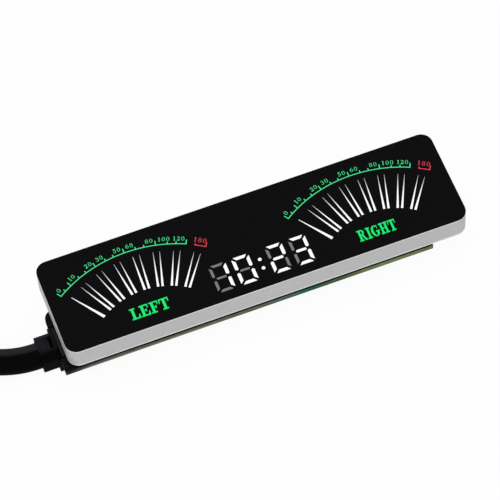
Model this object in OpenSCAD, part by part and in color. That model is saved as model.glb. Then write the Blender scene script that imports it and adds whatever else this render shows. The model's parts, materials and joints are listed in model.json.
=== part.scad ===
// Dual level meter and clock display on its driver board, with a plug-in lead.
// Millimetres. The module lies on its back, face up. Z = 0 is the surface that it lies on,
// X runs along the face and +Y points to the face's upper edge as it is read.

/* [Face and housing] */
// Length of the display face
face_l = 108; // [104:0.5:130]
// Width of the display face
face_w = 28; // [27:0.5:36]
// Plan radius of the face's corners
corner_r = 3.1; // [1.5:0.1:5]
// Thickness of the printed front film
film_t = 0.25; // [0.15:0.05:0.5]
// Height of the moulded housing under the film
housing_h = 7; // [5:0.1:10]
// Wall of the housing round the light board
housing_rim = 1.2; // [0.8:0.1:1.6]
// Height of the feet that hold the housing off the main board
foot_h = 0.6; // [0.3:0.1:1.5]
// Length of a foot along the wall
foot_l = 3; // [1.5:0.1:6]
// Distance of the feet from the middle of the face
foot_x = 38; // [25:1:41]
// Play between a light and the well that it fills
well_gap = 0.05; // [0.02:0.01:0.1]

/* [Light board] */
// Thickness of the light board that closes the housing's back
led_board_t = 1; // [0.6:0.1:1.6]
// Play of the light board in the housing
led_board_play = 0.1; // [0.05:0.05:0.3]
// Length of a light chip
chip_l = 0.65; // [0.4:0.05:1]
// Width of a light chip
chip_w = 0.3; // [0.2:0.05:0.4]
// Height of a light chip
chip_h = 0.35; // [0.2:0.05:0.8]
// Free height above a light chip in its well
chip_room = 0.3; // [0.1:0.05:0.6]
// Light chips under one scale arc
chips_per_scale = 8; // [4:1:12]
// Width of the channel under a scale arc that holds its light chips
channel_w = 1; // [0.8:0.1:1.4]
// Width of a square display pin
pin_w = 0.5; // [0.4:0.05:0.64]
// Pitch of the display pins
pin_pitch = 2.54; // [2:0.02:2.6]
// Display pins in one row
pins_per_row = 24; // [8:2:30]
// Distance of a pin row from the long edge of the face
pin_row_in = 2.4; // [2:0.1:3]
// Length of a pin below the main board
pin_tail = 1.4; // [0.8:0.1:2]
// Diameter of a pin's hole in the main board
pin_hole_d = 0.9; // [0.8:0.05:1.1]

/* [Dials] */
// Distance of a scale's outer arm from the end of the face
scale_end_in = 3; // [2:0.1:5]
// Distance of the scales' tops from the face's front edge
scale_up = 22.9; // [21:0.1:24]
// Room that half the face has beyond the radius of the scale arc
scale_clear = 19.5; // [18:0.1:22]
// Stroke of the scale arc, its ticks and the peak mark
scale_stroke = 0.2; // [0.2:0.02:0.5]
// Angle of the scale's start, left of upright
scale_from_angle = 34.6; // [30:0.1:36]
// Angle of the scale's end, right of upright
scale_to_angle = 25.6; // [20:0.1:26]
// Length of a short tick
tick_short = 0.7; // [0.4:0.05:1]
// Length of a long tick and of the arms at the arc's ends
tick_long = 1.3; // [1:0.05:1.6]
// Angle of the first long tick, left of upright
long_tick_angle = 28.1; // [26:0.1:30]
// Angle between long ticks
long_step_angle = 13.6; // [12:0.1:14]
// Distance of the peak mark inside the scale's radius
peak_in = 0.1; // [0:0.1:1]
// Angle of the peak mark's start, right of upright
peak_from_angle = 29.5; // [28:0.1:30]
// Angle of the peak mark's end, right of upright
peak_to_angle = 34.1; // [32:0.1:36]
// Length of a pointer light
pointer_l = 10.3; // [8:0.1:12]
// Distance of the middle pointers' tips inside the scale arc
pointer_in = 1.9; // [1.5:0.1:3]
// Height of the pointers' centre over the scale's centre
pointer_rise = 2.8; // [0:0.1:4]
// Share of the room at their base that the pointers of a pair fill
pointer_fill = 0.52; // [0.4:0.02:0.7]
// Width of a pointer at its tip
pointer_tip = 0.12; // [0.1:0.01:0.4]
// Pairs of pointers on a dial
pointer_pairs = 8; // [6:1:8]
// Angle of the first pair, left of upright
pointer_angle = 36.7; // [35:0.1:38]
// Angle between pairs of pointers
pointer_step_angle = 10.1; // [9:0.1:10.4]
// Half the angle between the two pointers of a pair
pointer_split_angle = 1.65; // [1.45:0.05:2]

/* [Clock] */
// Distance of the clock's middle from the face's front edge
clock_in = 6.8; // [6.4:0.1:8]
// Width of a digit
digit_w = 4.6; // [4.3:0.05:5.4]
// Height of a digit
digit_h = 8.3; // [7.5:0.1:9.2]
// Stroke of a digit's segments
digit_stroke = 0.8; // [0.7:0.05:1.2]
// Distance from the middle of the clock to the inner digits
digit_inner = 4.5; // [4.2:0.05:5]
// Pitch of the digits
digit_pitch = 6.25; // [6:0.05:7]
// How far a digit's bars stop short of its corners
bar_cut = 0.5; // [0.4:0.02:0.8]
// Diameter of a colon dot
colon_d = 0.9; // [0.7:0.05:1.4]
// Distance between the colon dots
colon_split = 2.7; // [2:0.1:4]

/* [Main board] */
// How far the main board stops short of the face's right end
board_end_in = 9.9; // [4:0.1:14]
// Thickness of the main board
board_t = 1.6; // [1:0.1:2]
// How far the main board reaches past the left end of the face
board_out = 1.5; // [1:0.1:3]
// Length of the tab at the board's left end
tab_l = 3.2; // [3:0.1:5]
// Width of that tab, from the front edge
tab_w = 18.6; // [17:0.1:22]
// Radius of the tab's free corner
tab_r = 2.6; // [1:0.1:3]
// Height of the board above the surface, set by the capacitor cans
stand_h = 5.45; // [5.2:0.05:6.5]

/* [Socket and plug] */
// Distance of the socket's middle from the board's front edge
socket_in = 9.2; // [8.2:0.1:10]
// Width of the socket
socket_w = 9.4; // [8.8:0.1:10]
// Length of the socket
socket_l = 9; // [8:0.1:11]
// How far the socket's mouth is set in from the board's end
mouth_in = 1.1; // [0.8:0.1:2]
// How far the socket's top lies below the board's top
socket_sunk = 0.1; // [0.05:0.05:0.4]
// Sheet thickness of the socket's shell
shell_t = 0.3; // [0.2:0.05:0.4]
// Width of the socket's soldered ears
ear_w = 1.4; // [1:0.1:1.8]
// Length of the socket's soldered ears
ear_l = 3; // [2:0.1:4]
// Play of the plug in the socket and of the socket in the board
plug_play = 0.35; // [0.25:0.05:0.5]
// Thickness of the socket's tongue
tongue_t = 1.2; // [1:0.1:1.6]
// Width of the plug's grip
grip_w = 8; // [7:0.1:8.6]
// Length of the plug's grip
grip_l = 4; // [3:0.1:6]
// Edge radius of the plug's grip
grip_r = 1.5; // [1:0.1:2.6]
// Gap between the plug and the surface below it
grip_lift = 0.12; // [0.05:0.01:0.3]
// Thickness of the plug's collar
collar_t = 1; // [0.6:0.1:1.4]
// How far the collar stands proud of the grip's sides
collar_out = 1; // [0.3:0.1:1]
// Edge radius of the plug's collar
collar_r = 0.8; // [0.3:0.1:2]
// How far the slot beside the collar lies off the plug's middle
slot_off = 0.7; // [0:0.1:2]
// Gap between the collar and the socket's mouth
collar_gap = 0.5; // [0.3:0.1:1]
// How far the plug goes into the socket
insert_l = 6.5; // [5:0.1:7]
// Contacts in the plug
contact_count = 5; // [3:1:6]
// Width of a contact
contact_w = 0.5; // [0.4:0.05:0.6]
// Thickness of a contact
contact_t = 0.2; // [0.15:0.05:0.25]
// Pitch of the contacts
contact_pitch = 1.1; // [0.95:0.05:1.2]
// Diameter of the lead
lead_d = 6.8; // [6:0.1:6.8]

/* [Setting switches] */
// Width of a switch
switch_w = 4.5; // [4:0.1:5]
// Height of a switch without its button
switch_h = 3.2; // [2.9:0.1:3.6]
// Thickness of a switch's cover plate
cover_t = 0.3; // [0.2:0.05:0.4]
// Pitch of the switches
switch_pitch = 12; // [9:0.5:14]
// Diameter of a button
button_d = 2.4; // [2:0.1:2.6]
// How far a button stands out of its switch
button_out = 0.9; // [0.5:0.1:1.2]
// Travel of a button
button_travel = 0.25; // [0.15:0.05:0.4]
// Play of a button in its cover
button_play = 0.15; // [0.1:0.05:0.2]
// Rise of a switch's snap dome
dome_rise = 0.45; // [0.3:0.05:0.6]

/* [Chips] */
// Width of a chip's body
ic_w = 7.5; // [7:0.1:7.6]
// Height of a chip's body
ic_h = 2.3; // [1.8:0.1:2.6]
// Length of the controller
controller_l = 12.8; // [11:0.1:14]
// Length of a light driver
driver_l = 15.4; // [14:0.1:17]
// Length of the clock chip
clock_chip_l = 4.9; // [4.5:0.1:5.2]
// Width of the clock chip
clock_chip_w = 3.9; // [3.6:0.1:4.2]
// Height of the clock chip
clock_chip_h = 1.5; // [1.3:0.1:1.8]
// Pitch of the chips' leads
ic_pitch = 1.27; // [1.2:0.01:1.3]
// Width of a chip's lead
ic_lead_w = 0.4; // [0.3:0.05:0.5]
// Thickness of a chip's lead
ic_lead_t = 0.25; // [0.2:0.05:0.3]
// Reach of a chip's lead from its body
ic_reach = 1.4; // [1.1:0.1:1.6]
// Clearance under a chip's body
ic_lift = 0.2; // [0.1:0.05:0.3]
// Diameter of a supply capacitor's can
can_d = 6.3; // [5:0.1:6.5]
// Height of a supply capacitor's base
can_base_h = 1; // [0.7:0.1:1.4]
// Distance of the row of chips from the board's front edge
chip_row_in = 17.5; // [16.5:0.1:18.5]
// Distance of the row of switches from the board's front edge
switch_row_in = 7.5; // [6.5:0.1:8]
// Distance of the row of small parts from the board's front edge
small_row_in = 11.3; // [11:0.1:11.6]
// Gap between the light drivers
driver_gap = 4.6; // [3:0.1:6]
// Distance of the supply capacitors from the board's right end
can_end_in = 7.5; // [5:0.1:10]

/* [Hidden] */
$fn = 48;
over = 1;

// Heights above the surface
board_z0 = stand_h;
board_z1 = board_z0 + board_t;
housing_z0 = board_z1 + foot_h;
housing_z1 = housing_z0 + housing_h;
face_z = housing_z1 + film_t;
led_z1 = housing_z0 + led_board_t;
light_z0 = led_z1 + chip_h + chip_room;

// Places along and across the module, whose box is centred on the origin
face_x = board_out / 2;
front_y = -face_w / 2;
board_x0 = face_x - face_l / 2 - board_out;
board_x1 = face_x + face_l / 2 - board_end_in;
scale_r = face_l / 2 - scale_clear;
dial_in = scale_end_in + (scale_r + tick_long) * sin(scale_from_angle);
dial_y = front_y + scale_up - scale_r;
clock_y = front_y + clock_in;
pin_row_y = face_w / 2 - pin_row_in;
socket_y = front_y + socket_in;
mouth_x = board_x0 + mouth_in;
socket_h = board_z1 - socket_sunk;
plug_z = socket_h / 2;
grip_h = socket_h - 2 * grip_lift;
collar_x = mouth_x - collar_gap;
grip_x = collar_x - collar_t;
plug_back = grip_x - grip_l;
cavity_w = socket_w - 2 * shell_t;
cavity_h = socket_h - 2 * shell_t;
insert_w = cavity_w - 2 * plug_play;
insert_h = cavity_h - 2 * plug_play;
core_back = 1.6;
tongue_w = contact_count * contact_pitch + 0.4;
tongue_l = insert_l - collar_gap - plug_play;

// Rows of parts under the board
chip_row_y = front_y + chip_row_in;
switch_row_y = front_y + switch_row_in;
small_row_y = front_y + small_row_in;
board_l = board_x1 - board_x0;
switch_row_x = 0.07 * board_l;
controller_x = -0.24 * board_l;
driver_mid_x = 0.05 * board_l;
clock_chip_x = -0.2 * board_l;
crystal_x = -0.27 * board_l;
regulator_x = -0.38 * board_l;
can_x = board_x1 - can_end_in - face_x;
can_split = 6.5;
resistors = 8;
resistor_x = -0.08 * board_l;
resistor_pitch = 4;
capacitors = 4;
capacitor_x = -0.33 * board_l;
capacitor_pitch = 3.2;
small_l = 2;
small_w = 1.25;
small_h = 0.55;
small_cap_l = 0.35;

// Basic shapes
module round_rect(l, w, r) {
    square([l - 2 * r, w], center = true);
    square([l, w - 2 * r], center = true);
    for (x = [-1, 1], y = [-1, 1])
        translate([x * (l / 2 - r), y * (w / 2 - r)]) circle(r);
}

// A bar along +X whose section is a rounded rectangle w wide in Y and h high in Z
module round_bar(l, w, h, r) {
    rotate([90, 0, 90]) linear_extrude(l) round_rect(w, h, r);
}

module plate(z0, z1) {
    translate([0, 0, z0]) linear_extrude(z1 - z0) children();
}

// Hangs a part under the main board: its own +Z points away from the board
module under_board(x, y) {
    translate([face_x + x, y, board_z0]) mirror([0, 0, 1]) children();
}

// Outlines on the face, each grown by g where it is a well or a window
function upright(a) = [-sin(a), cos(a)];

module ring_part(r, stroke, from, to) {
    reach = 1.4 * r;
    intersection() {
        difference() {
            circle(r + stroke / 2, $fn = 180);
            circle(r - stroke / 2, $fn = 180);
        }
        polygon([[0, 0], reach * upright(from), reach * upright(to)]);
    }
}

// A mark outwards from the arc, whose foot may reach a little inside the arc
module tick(r, a, length, g, foot = 0) {
    stroke = scale_stroke + 2 * g;
    rotate(a) translate([-stroke / 2, r - foot]) square([stroke, foot + length + g]);
}

// An arm that closes an end of an arc
module end_arm(r, a, g) {
    tick(r, a, tick_long, g, 0.6 * scale_stroke + g);
}

module at_dial(side) {
    translate([face_x + side * (face_l / 2 - dial_in), dial_y]) children();
}

module scale_outline(side, g) {
    at_dial(side) {
        ring_part(scale_r, scale_stroke + 2 * g, scale_from_angle, -scale_to_angle);
        for (a = [scale_from_angle, -scale_to_angle]) end_arm(scale_r, a, g);
        tick(scale_r, long_tick_angle + short_before_angle, tick_short, g);
        for (i = [0:3]) {
            a = long_tick_angle - i * long_step_angle;
            tick(scale_r, a, tick_long, g);
            for (after = short_after_angles) tick(scale_r, a - after, tick_short, g);
        }
    }
}
short_before_angle = 3.4;
short_after_angles = [5, 8.7];

module peak_outline(side, g) {
    r = scale_r - peak_in;
    at_dial(side) {
        ring_part(r, scale_stroke + 2 * g, -peak_from_angle, -peak_to_angle);
        for (a = [-peak_from_angle, -peak_to_angle]) end_arm(r, a, g);
    }
}

// A single, broader pointer stands where the first pair would be
first_pointer_angle = pointer_angle - 0.7 * pointer_split_angle;
first_pointer_breadth = 1.3;
pointer_angles = [for (i = [0:pointer_pairs - 1], s = [1, -1])
    if (i > 0) pointer_angle - i * pointer_step_angle + s * pointer_split_angle
    else if (s < 0) first_pointer_angle];
pointer_r1 = scale_r - pointer_rise - pointer_in;
pointer_r0 = pointer_r1 - pointer_l;
pointer_base = 2 * pointer_r0 * sin(pointer_split_angle) * pointer_fill;

module at_pointers(side) {
    at_dial(side) translate([0, pointer_rise]) children();
}

module pointer_outlines(side, g) {
    at_pointers(side) for (a = pointer_angles) rotate(a)
        pointer_outline(pointer_base / 2 * (a == first_pointer_angle ? first_pointer_breadth : 1), g);
}

module pointer_outline(half, g) {
    polygon([
        [-half - g, pointer_r0 - g], [half + g, pointer_r0 - g],
        [pointer_tip / 2 + g, pointer_r1 + g], [-pointer_tip / 2 - g, pointer_r1 + g]]);
}

function grown(points, length, thick, g) =
    [for (p = points) [p.x * (1 + 2 * g / length), p.y * (1 + 2 * g / thick)]];

// Bars of a digit lie along X and its sides along Y, each about its own middle
mitre = 0.95 * digit_stroke;
nib = 0.25;
mid_gap = 0.7;
bar_l = digit_w - 2 * bar_cut;
side_top = digit_h / 2 - bar_cut;
side_l = side_top - mid_gap + nib;
side_y = side_top - side_l / 2;
mid_l = digit_w - 2 * digit_stroke + 2 * nib - 0.7;
mid_t = 0.87 * digit_stroke;

module bar(g) {
    t = digit_stroke / 2;
    polygon(grown([[-bar_l / 2, t], [bar_l / 2, t], [bar_l / 2 - mitre, -t],
        [mitre - bar_l / 2, -t]], bar_l, digit_stroke, g));
}

module side_bar(g) {
    t = digit_stroke / 2;
    polygon(grown([[t, side_l / 2], [t, nib - side_l / 2], [0, -side_l / 2],
        [-t, nib - side_l / 2], [-t, side_l / 2 - mitre]], digit_stroke, side_l, g));
}

module middle_bar(g) {
    t = mid_t / 2;
    polygon(grown([[-mid_l / 2, 0], [nib - mid_l / 2, t], [mid_l / 2 - nib, t], [mid_l / 2, 0],
        [mid_l / 2 - nib, -t], [nib - mid_l / 2, -t]], mid_l, mid_t, g));
}

module digit_outline(place, g) {
    x = (place < 2 ? -1 : 1) * digit_inner + (place == 0 ? -1 : place == 3 ? 1 : 0) * digit_pitch;
    translate([face_x + x, clock_y]) {
        middle_bar(g);
        for (up = [0, 1]) mirror([0, up]) {
            translate([0, (digit_h - digit_stroke) / 2]) bar(g);
            for (left = [0, 1])
                mirror([left, 0]) translate([(digit_w - digit_stroke) / 2, side_y]) side_bar(g);
        }
    }
}

module colon_outline(g) {
    for (s = [-1, 1]) translate([face_x, clock_y + s * colon_split / 2]) circle(colon_d / 2 + g);
}

module all_windows(g) {
    for (side = [-1, 1]) {
        scale_outline(side, g);
        peak_outline(side, g);
    }
    all_chambers(g);
}

// Wells that are wide enough for a light chip from top to bottom
module all_chambers(g) {
    for (side = [-1, 1]) pointer_outlines(side, g);
    for (place = [0:3]) digit_outline(place, g);
    colon_outline(g);
}

module all_channels() {
    for (side = [-1, 1]) at_dial(side) {
        ring_part(scale_r, channel_w, scale_from_angle, -scale_to_angle);
        ring_part(scale_r - peak_in, channel_w, -peak_from_angle, -peak_to_angle);
    }
}

module face_outline(inset) {
    r = max(corner_r - inset, 0.3);
    translate([face_x, 0]) round_rect(face_l - 2 * inset, face_w - 2 * inset, r);
}

// Display
module front_film() {
    color("#111113") plate(housing_z1, face_z) difference() {
        face_outline(0);
        all_windows(well_gap);
    }
}

module display_housing() {
    color("#dcdcdd") {
        difference() {
            plate(housing_z0, housing_z1) face_outline(0);
            plate(housing_z0 - over, led_z1) face_outline(housing_rim);
            plate(led_z1 - over, light_z0) {
                all_chambers(well_gap);
                all_channels();
            }
            plate(light_z0 - chip_room / 2, housing_z1 + over) all_windows(well_gap);
        }
        // Each foot stands on the inner half of the rim
        for (x = [-1, 1], y = [0, 1]) mirror([0, y, 0])
            translate([face_x + x * foot_x - foot_l / 2, face_w / 2 - housing_rim, board_z1])
                cube([foot_l, housing_rim / 2, foot_h]);
    }
}

module light() {
    plate(light_z0, face_z) children();
}

module left_pointer_lights() {
    color("white") light() pointer_outlines(-1, 0);
}

module right_pointer_lights() {
    color("white") light() pointer_outlines(1, 0);
}

module left_scale_light() {
    color("#35d98a") light() scale_outline(-1, 0);
}

module right_scale_light() {
    color("#35d98a") light() scale_outline(1, 0);
}

module left_peak_light() {
    color("#d8343f") light() peak_outline(-1, 0);
}

module right_peak_light() {
    color("#d8343f") light() peak_outline(1, 0);
}

module hour_tens_segments() {
    color("white") light() digit_outline(0, 0);
}

module hour_units_segments() {
    color("white") light() digit_outline(1, 0);
}

module minute_tens_segments() {
    color("white") light() digit_outline(2, 0);
}

module minute_units_segments() {
    color("white") light() digit_outline(3, 0);
}

module colon_lights() {
    color("white") light() colon_outline(0);
}

module led_board() {
    color("#1d3b2a") plate(housing_z0, led_z1) face_outline(housing_rim + led_board_play);
}

// Light chips, their length along Y
module led_chip(x, y, a) {
    translate([x, y, led_z1]) rotate(a)
        translate([-chip_w / 2, -chip_l / 2, 0]) cube([chip_w, chip_l, chip_h]);
}

module dial_chips(r, angles, turn) {
    for (a = angles) rotate(a) translate([0, r]) led_chip(0, 0, turn);
}

module white_led_chips() {
    color("#f4f0c8") {
        for (side = [-1, 1])
            at_pointers(side) dial_chips(pointer_r0 + chip_l, pointer_angles, 0);
        for (place = [0:3]) digit_chips(place);
        for (s = [-1, 1]) led_chip(face_x, clock_y + s * colon_split / 2, 90);
    }
}

module digit_chips(place) {
    x = (place < 2 ? -1 : 1) * digit_inner + (place == 0 ? -1 : place == 3 ? 1 : 0) * digit_pitch;
    translate([face_x + x, clock_y]) {
        led_chip(0, 0, 90);
        for (s = [-1, 1]) {
            led_chip(0, s * (digit_h - digit_stroke) / 2, 90);
            for (t = [-1, 1]) led_chip(t * (digit_w - digit_stroke) / 2, s * side_y, 0);
        }
    }
}

module green_led_chips() {
    step = (scale_from_angle + scale_to_angle) / chips_per_scale;
    angles = [for (i = [0:chips_per_scale - 1]) scale_from_angle - (i + 0.5) * step];
    color("#bfe8c6") for (side = [-1, 1]) at_dial(side) dial_chips(scale_r, angles, 90);
}

module red_led_chips() {
    color("#e8c0bf") for (side = [-1, 1])
        at_dial(side) dial_chips(scale_r - peak_in, [-(peak_from_angle + peak_to_angle) / 2], 90);
}

pin_x = [for (i = [0:pins_per_row - 1]) face_x + (i - (pins_per_row - 1) / 2) * pin_pitch];

module pin_row(side) {
    for (x = pin_x) translate([x - pin_w / 2, side * pin_row_y - pin_w / 2, board_z0 - pin_tail])
        cube([pin_w, pin_w, housing_z0 - board_z0 + pin_tail]);
}

module front_display_pins() {
    color("#c9ccd0") pin_row(-1);
}

module rear_display_pins() {
    color("#c9ccd0") pin_row(1);
}

// Main board with a tab at its left end and a notch for the socket
module main_board() {
    notch_w = socket_w + 2 * plug_play;
    notch_l = mouth_in + socket_l + plug_play;
    color("#14402c") plate(board_z0, board_z1) difference() {
        union() {
            translate([board_x0 + tab_l, front_y]) square([board_l - tab_l, face_w]);
            translate([board_x0, front_y]) square([tab_l + over, tab_w - tab_r]);
            translate([board_x0 + tab_r, front_y]) square([tab_l + over - tab_r, tab_w]);
            translate([board_x0 + tab_r, front_y + tab_w - tab_r]) circle(tab_r);
        }
        translate([board_x0 - over, socket_y - notch_w / 2]) square([notch_l + over, notch_w]);
        for (x = pin_x, side = [-1, 1]) translate([x, side * pin_row_y]) circle(pin_hole_d / 2);
    }
}

// Chips with two rows of bent leads
module ic_body(l, w, h) {
    draft = 0.25;
    dimple_d = 1;
    dimple = 0.1;
    difference() {
        translate([-l / 2, 0, ic_lift]) rotate([90, 0, 90]) linear_extrude(l)
            polygon([[draft - w / 2, 0], [w / 2 - draft, 0], [w / 2, h / 2], [w / 2 - draft, h],
                [draft - w / 2, h], [-w / 2, h / 2]]);
        translate([dimple_d - l / 2, dimple_d - w / 2 + draft, ic_lift + h - dimple])
            cylinder(d = dimple_d, h = over, $fn = 24);
    }
}

module ic_leads(l, w, h) {
    count = floor((l - ic_lead_w) / ic_pitch);
    top = ic_lift + h / 2;
    shoulder = ic_reach * 0.35;
    for (s = [0, 1], i = [0:count - 1])
        mirror([0, s]) translate([(i - (count - 1) / 2) * ic_pitch - ic_lead_w / 2, w / 2, 0])
            rotate([90, 0, 90]) linear_extrude(ic_lead_w)
                polygon([[0, top], [shoulder, top], [shoulder + ic_lead_t, ic_lead_t],
                    [ic_reach, ic_lead_t], [ic_reach, 0], [shoulder, 0],
                    [shoulder - ic_lead_t, top - ic_lead_t], [0, top - ic_lead_t]]);
}

module controller_chip() {
    color("#202124") under_board(controller_x, chip_row_y) ic_body(controller_l, ic_w, ic_h);
}

module controller_leads() {
    color("#c9ccd0") under_board(controller_x, chip_row_y) ic_leads(controller_l, ic_w, ic_h);
}

module driver_places() {
    for (s = [-1, 1]) under_board(driver_mid_x + s * (driver_l + driver_gap) / 2, chip_row_y) children();
}

module driver_chips() {
    color("#202124") driver_places() ic_body(driver_l, ic_w, ic_h);
}

module driver_leads() {
    color("#c9ccd0") driver_places() ic_leads(driver_l, ic_w, ic_h);
}

module clock_chip() {
    color("#202124") under_board(clock_chip_x, switch_row_y)
        ic_body(clock_chip_l, clock_chip_w, clock_chip_h);
}

module clock_chip_leads() {
    color("#c9ccd0") under_board(clock_chip_x, switch_row_y)
        ic_leads(clock_chip_l, clock_chip_w, clock_chip_h);
}

module clock_crystal() {
    base_t = 0.3;
    lid = 0.2;
    color("#d5d8dc") under_board(crystal_x, switch_row_y) {
        linear_extrude(base_t) round_rect(small_w + 2 * lid, small_l * 1.7, lid);
        translate([0, 0, base_t]) linear_extrude(small_h)
            round_rect(small_w, small_l * 1.7 - 2 * lid, lid);
    }
}

regulator_l = 6.5;
regulator_w = 3.5;
regulator_h = 1.6;

module regulator() {
    color("#202124") under_board(regulator_x, chip_row_y) rotate(90)
        ic_body(regulator_l, regulator_w, regulator_h);
}

// Wide cooling tab on one side of the regulator and three leads on the other
module regulator_tab() {
    tab = 3;
    pitch = 2.3;
    lead = 0.7;
    color("#c9ccd0") under_board(regulator_x, chip_row_y) rotate(90) {
        translate([-tab / 2, regulator_w / 2, 0]) cube([tab, ic_reach, ic_lift + regulator_h / 2]);
        for (i = [-1:1]) translate([i * pitch - lead / 2, -regulator_w / 2 - ic_reach, 0])
            cube([lead, ic_reach, ic_lift + regulator_h / 2]);
    }
}

// Small chip parts, each a body between two tinned ends
module small_places(count, x, pitch) {
    for (i = [0:count - 1]) under_board(x + i * pitch, small_row_y) children();
}

module small_body() {
    l = small_l - 2 * small_cap_l;
    translate([-l / 2, -small_w / 2, 0]) cube([l, small_w, small_h]);
}

module small_ends() {
    for (s = [0, 1]) mirror([s, 0, 0]) translate([small_l / 2 - small_cap_l, -small_w / 2, 0])
        cube([small_cap_l, small_w, small_h]);
}

module chip_resistors() {
    color("#26282b") small_places(resistors, resistor_x, resistor_pitch) small_body();
}

module chip_capacitors() {
    color("#b9966a") small_places(capacitors, capacitor_x, capacitor_pitch) small_body();
}

module chip_end_caps() {
    color("#c9ccd0") {
        small_places(resistors, resistor_x, resistor_pitch) small_ends();
        small_places(capacitors, capacitor_x, capacitor_pitch) small_ends();
    }
}

// Supply capacitors, which the module rests on at its right end
module can_places() {
    for (s = [-1, 1]) under_board(can_x, s * can_split) children();
}

module capacitor_cans() {
    r = can_d / 2;
    edge = 0.5;
    neck = 0.3;
    neck_z = can_base_h + 0.8;
    color("#b9bcc0") can_places() rotate_extrude()
        polygon([[0, can_base_h], [r, can_base_h], [r, neck_z], [r - neck, neck_z + neck],
            [r, neck_z + 2 * neck], [r, stand_h - edge], [r - edge, stand_h], [0, stand_h]]);
}

module capacitor_bases() {
    half = can_d / 2 + 0.15;
    cut = 1.2;
    color("#1b1c1e") can_places() linear_extrude(can_base_h)
        polygon([[-half, -half], [half - cut, -half], [half, cut - half], [half, half - cut],
            [half - cut, half], [-half, half]]);
}

// Setting switches: body, cover plate, snap dome, legs and a button that travels
cavity_d = switch_w - 0.9;
cavity_floor = 0.6;
body_top = switch_h - cover_t;
flange_d = cavity_d - 4 * button_play;
flange_t = 0.5;
dome_t = 0.12;
nib_d = 1;

module switch_places() {
    for (i = [-1:1]) under_board(switch_row_x + i * switch_pitch, switch_row_y) children();
}

module switch_bodies() {
    color("#17181a") switch_places() difference() {
        linear_extrude(body_top) round_rect(switch_w, switch_w, 0.3);
        translate([0, 0, cavity_floor]) cylinder(d = cavity_d, h = switch_h);
    }
}

module switch_covers() {
    color("#c3c7cb") switch_places() translate([0, 0, body_top]) linear_extrude(cover_t)
        difference() {
            round_rect(switch_w, switch_w, 0.3);
            circle(button_d / 2 + button_play);
        }
}

module switch_domes() {
    r = cavity_d / 2 - button_play;
    color("#c9a24a") switch_places() translate([0, 0, cavity_floor]) rotate_extrude()
        polygon([[0, dome_rise - dome_t], [r / 2, dome_rise - dome_t * 2], [r - dome_t, 0], [r, 0],
            [r / 2 + dome_t, dome_rise - dome_t], [dome_t, dome_rise], [0, dome_rise]]);
}

module switch_legs() {
    leg_l = 0.9;
    leg_w = 0.7;
    leg_t = 0.3;
    color("#c9ccd0") switch_places() for (x = [0, 1], y = [-1, 1])
        mirror([x, 0, 0]) translate([switch_w / 2, y * switch_w / 3 - leg_w / 2, 0])
            cube([leg_l, leg_w, leg_t]);
}

// A stem with a flange that keeps it behind the cover and a nib above the dome
module button(i) {
    flange_top = body_top - button_play / 2;
    nib_z = cavity_floor + dome_rise + button_travel + button_play / 2;
    edge = 0.2;
    r = button_d / 2;
    top = switch_h + button_out;
    under_board(switch_row_x + i * switch_pitch, switch_row_y) rotate_extrude()
        polygon([[0, nib_z], [nib_d / 2, nib_z], [nib_d / 2, flange_top - flange_t],
            [flange_d / 2, flange_top - flange_t], [flange_d / 2, flange_top], [r, flange_top],
            [r, top - edge], [r - edge, top], [0, top]]);
}

module set_button() {
    color("#2b2d30") button(-1);
}

module up_button() {
    color("#2b2d30") button(0);
}

module down_button() {
    color("#2b2d30") button(1);
}

// Socket sunk in the board's notch: folded shell with ears, core with a tongue, contacts
module at_socket() {
    translate([mouth_x, socket_y, plug_z]) children();
}

module socket_shell() {
    color("#aeb2b7") {
        at_socket() difference() {
            round_bar(socket_l, socket_w, socket_h, 0.8);
            translate([-over, 0, 0]) round_bar(socket_l + 2 * over, cavity_w, cavity_h, 0.5);
        }
        for (s = [0, 1]) translate([mouth_x + socket_l - ear_l, socket_y, board_z0 - shell_t])
            mirror([0, s, 0]) translate([0, socket_w / 2, 0]) cube([ear_l, ear_w, shell_t]);
    }
}

module socket_core() {
    color("#1a1b1d") at_socket() {
        translate([socket_l - core_back, 0, 0]) round_bar(core_back, cavity_w, cavity_h, 0.5);
        translate([socket_l - core_back - tongue_l, -tongue_w / 2, -tongue_t / 2])
            cube([tongue_l, tongue_w, tongue_t]);
    }
}

module contact_places() {
    for (i = [0:contact_count - 1])
        translate([0, (i - (contact_count - 1) / 2) * contact_pitch, 0]) children();
}

module socket_contacts() {
    l = tongue_l - 1;
    color("#c9a24a") at_socket() contact_places()
        translate([socket_l - core_back - l, -contact_w / 2, tongue_t / 2])
            cube([l, contact_w, contact_t]);
}

// Plug: moulded grip with a collar and a slot, an insert that goes into the socket, contacts.
// Its own +X points into the socket, and X = 0 is the grip's back.
module plug_grip() {
    slot_l = 3.5;
    slot_w = 0.8;
    slot_depth = 0.9;
    difference() {
        union() {
            round_bar(grip_l, grip_w, grip_h, grip_r);
            translate([grip_l, 0, 0])
                round_bar(collar_t, grip_w + 2 * collar_out, grip_h, collar_r);
        }
        translate([grip_l - slot_w, slot_off - slot_l / 2, grip_h / 2 - slot_depth])
            cube([slot_w, slot_l, over + slot_depth]);
    }
}

insert_out = collar_gap + insert_l;
bore_w = tongue_w + 2 * plug_play;
bore_h = tongue_t + 4 * contact_t + 2 * plug_play;

module insert_block() {
    wall = 1;
    translate([grip_l + collar_t, 0, 0]) difference() {
        round_bar(insert_out, insert_w, insert_h, 0.6);
        translate([collar_gap + wall, -bore_w / 2, -bore_h / 2]) cube([insert_out, bore_w, bore_h]);
    }
}

module insert_contacts() {
    l = insert_l - 2;
    translate([grip_l + collar_t + insert_out - l - 0.5, 0, 0]) contact_places()
        translate([0, -contact_w / 2, bore_h / 2 - contact_t]) cube([l, contact_w, contact_t]);
}

module at_plug() {
    translate([plug_back, socket_y, plug_z]) children();
}

module lead_plug() {
    color("#131315") at_plug() plug_grip();
}

module plug_insert() {
    color("#1d1e21") at_plug() insert_block();
}

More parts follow.
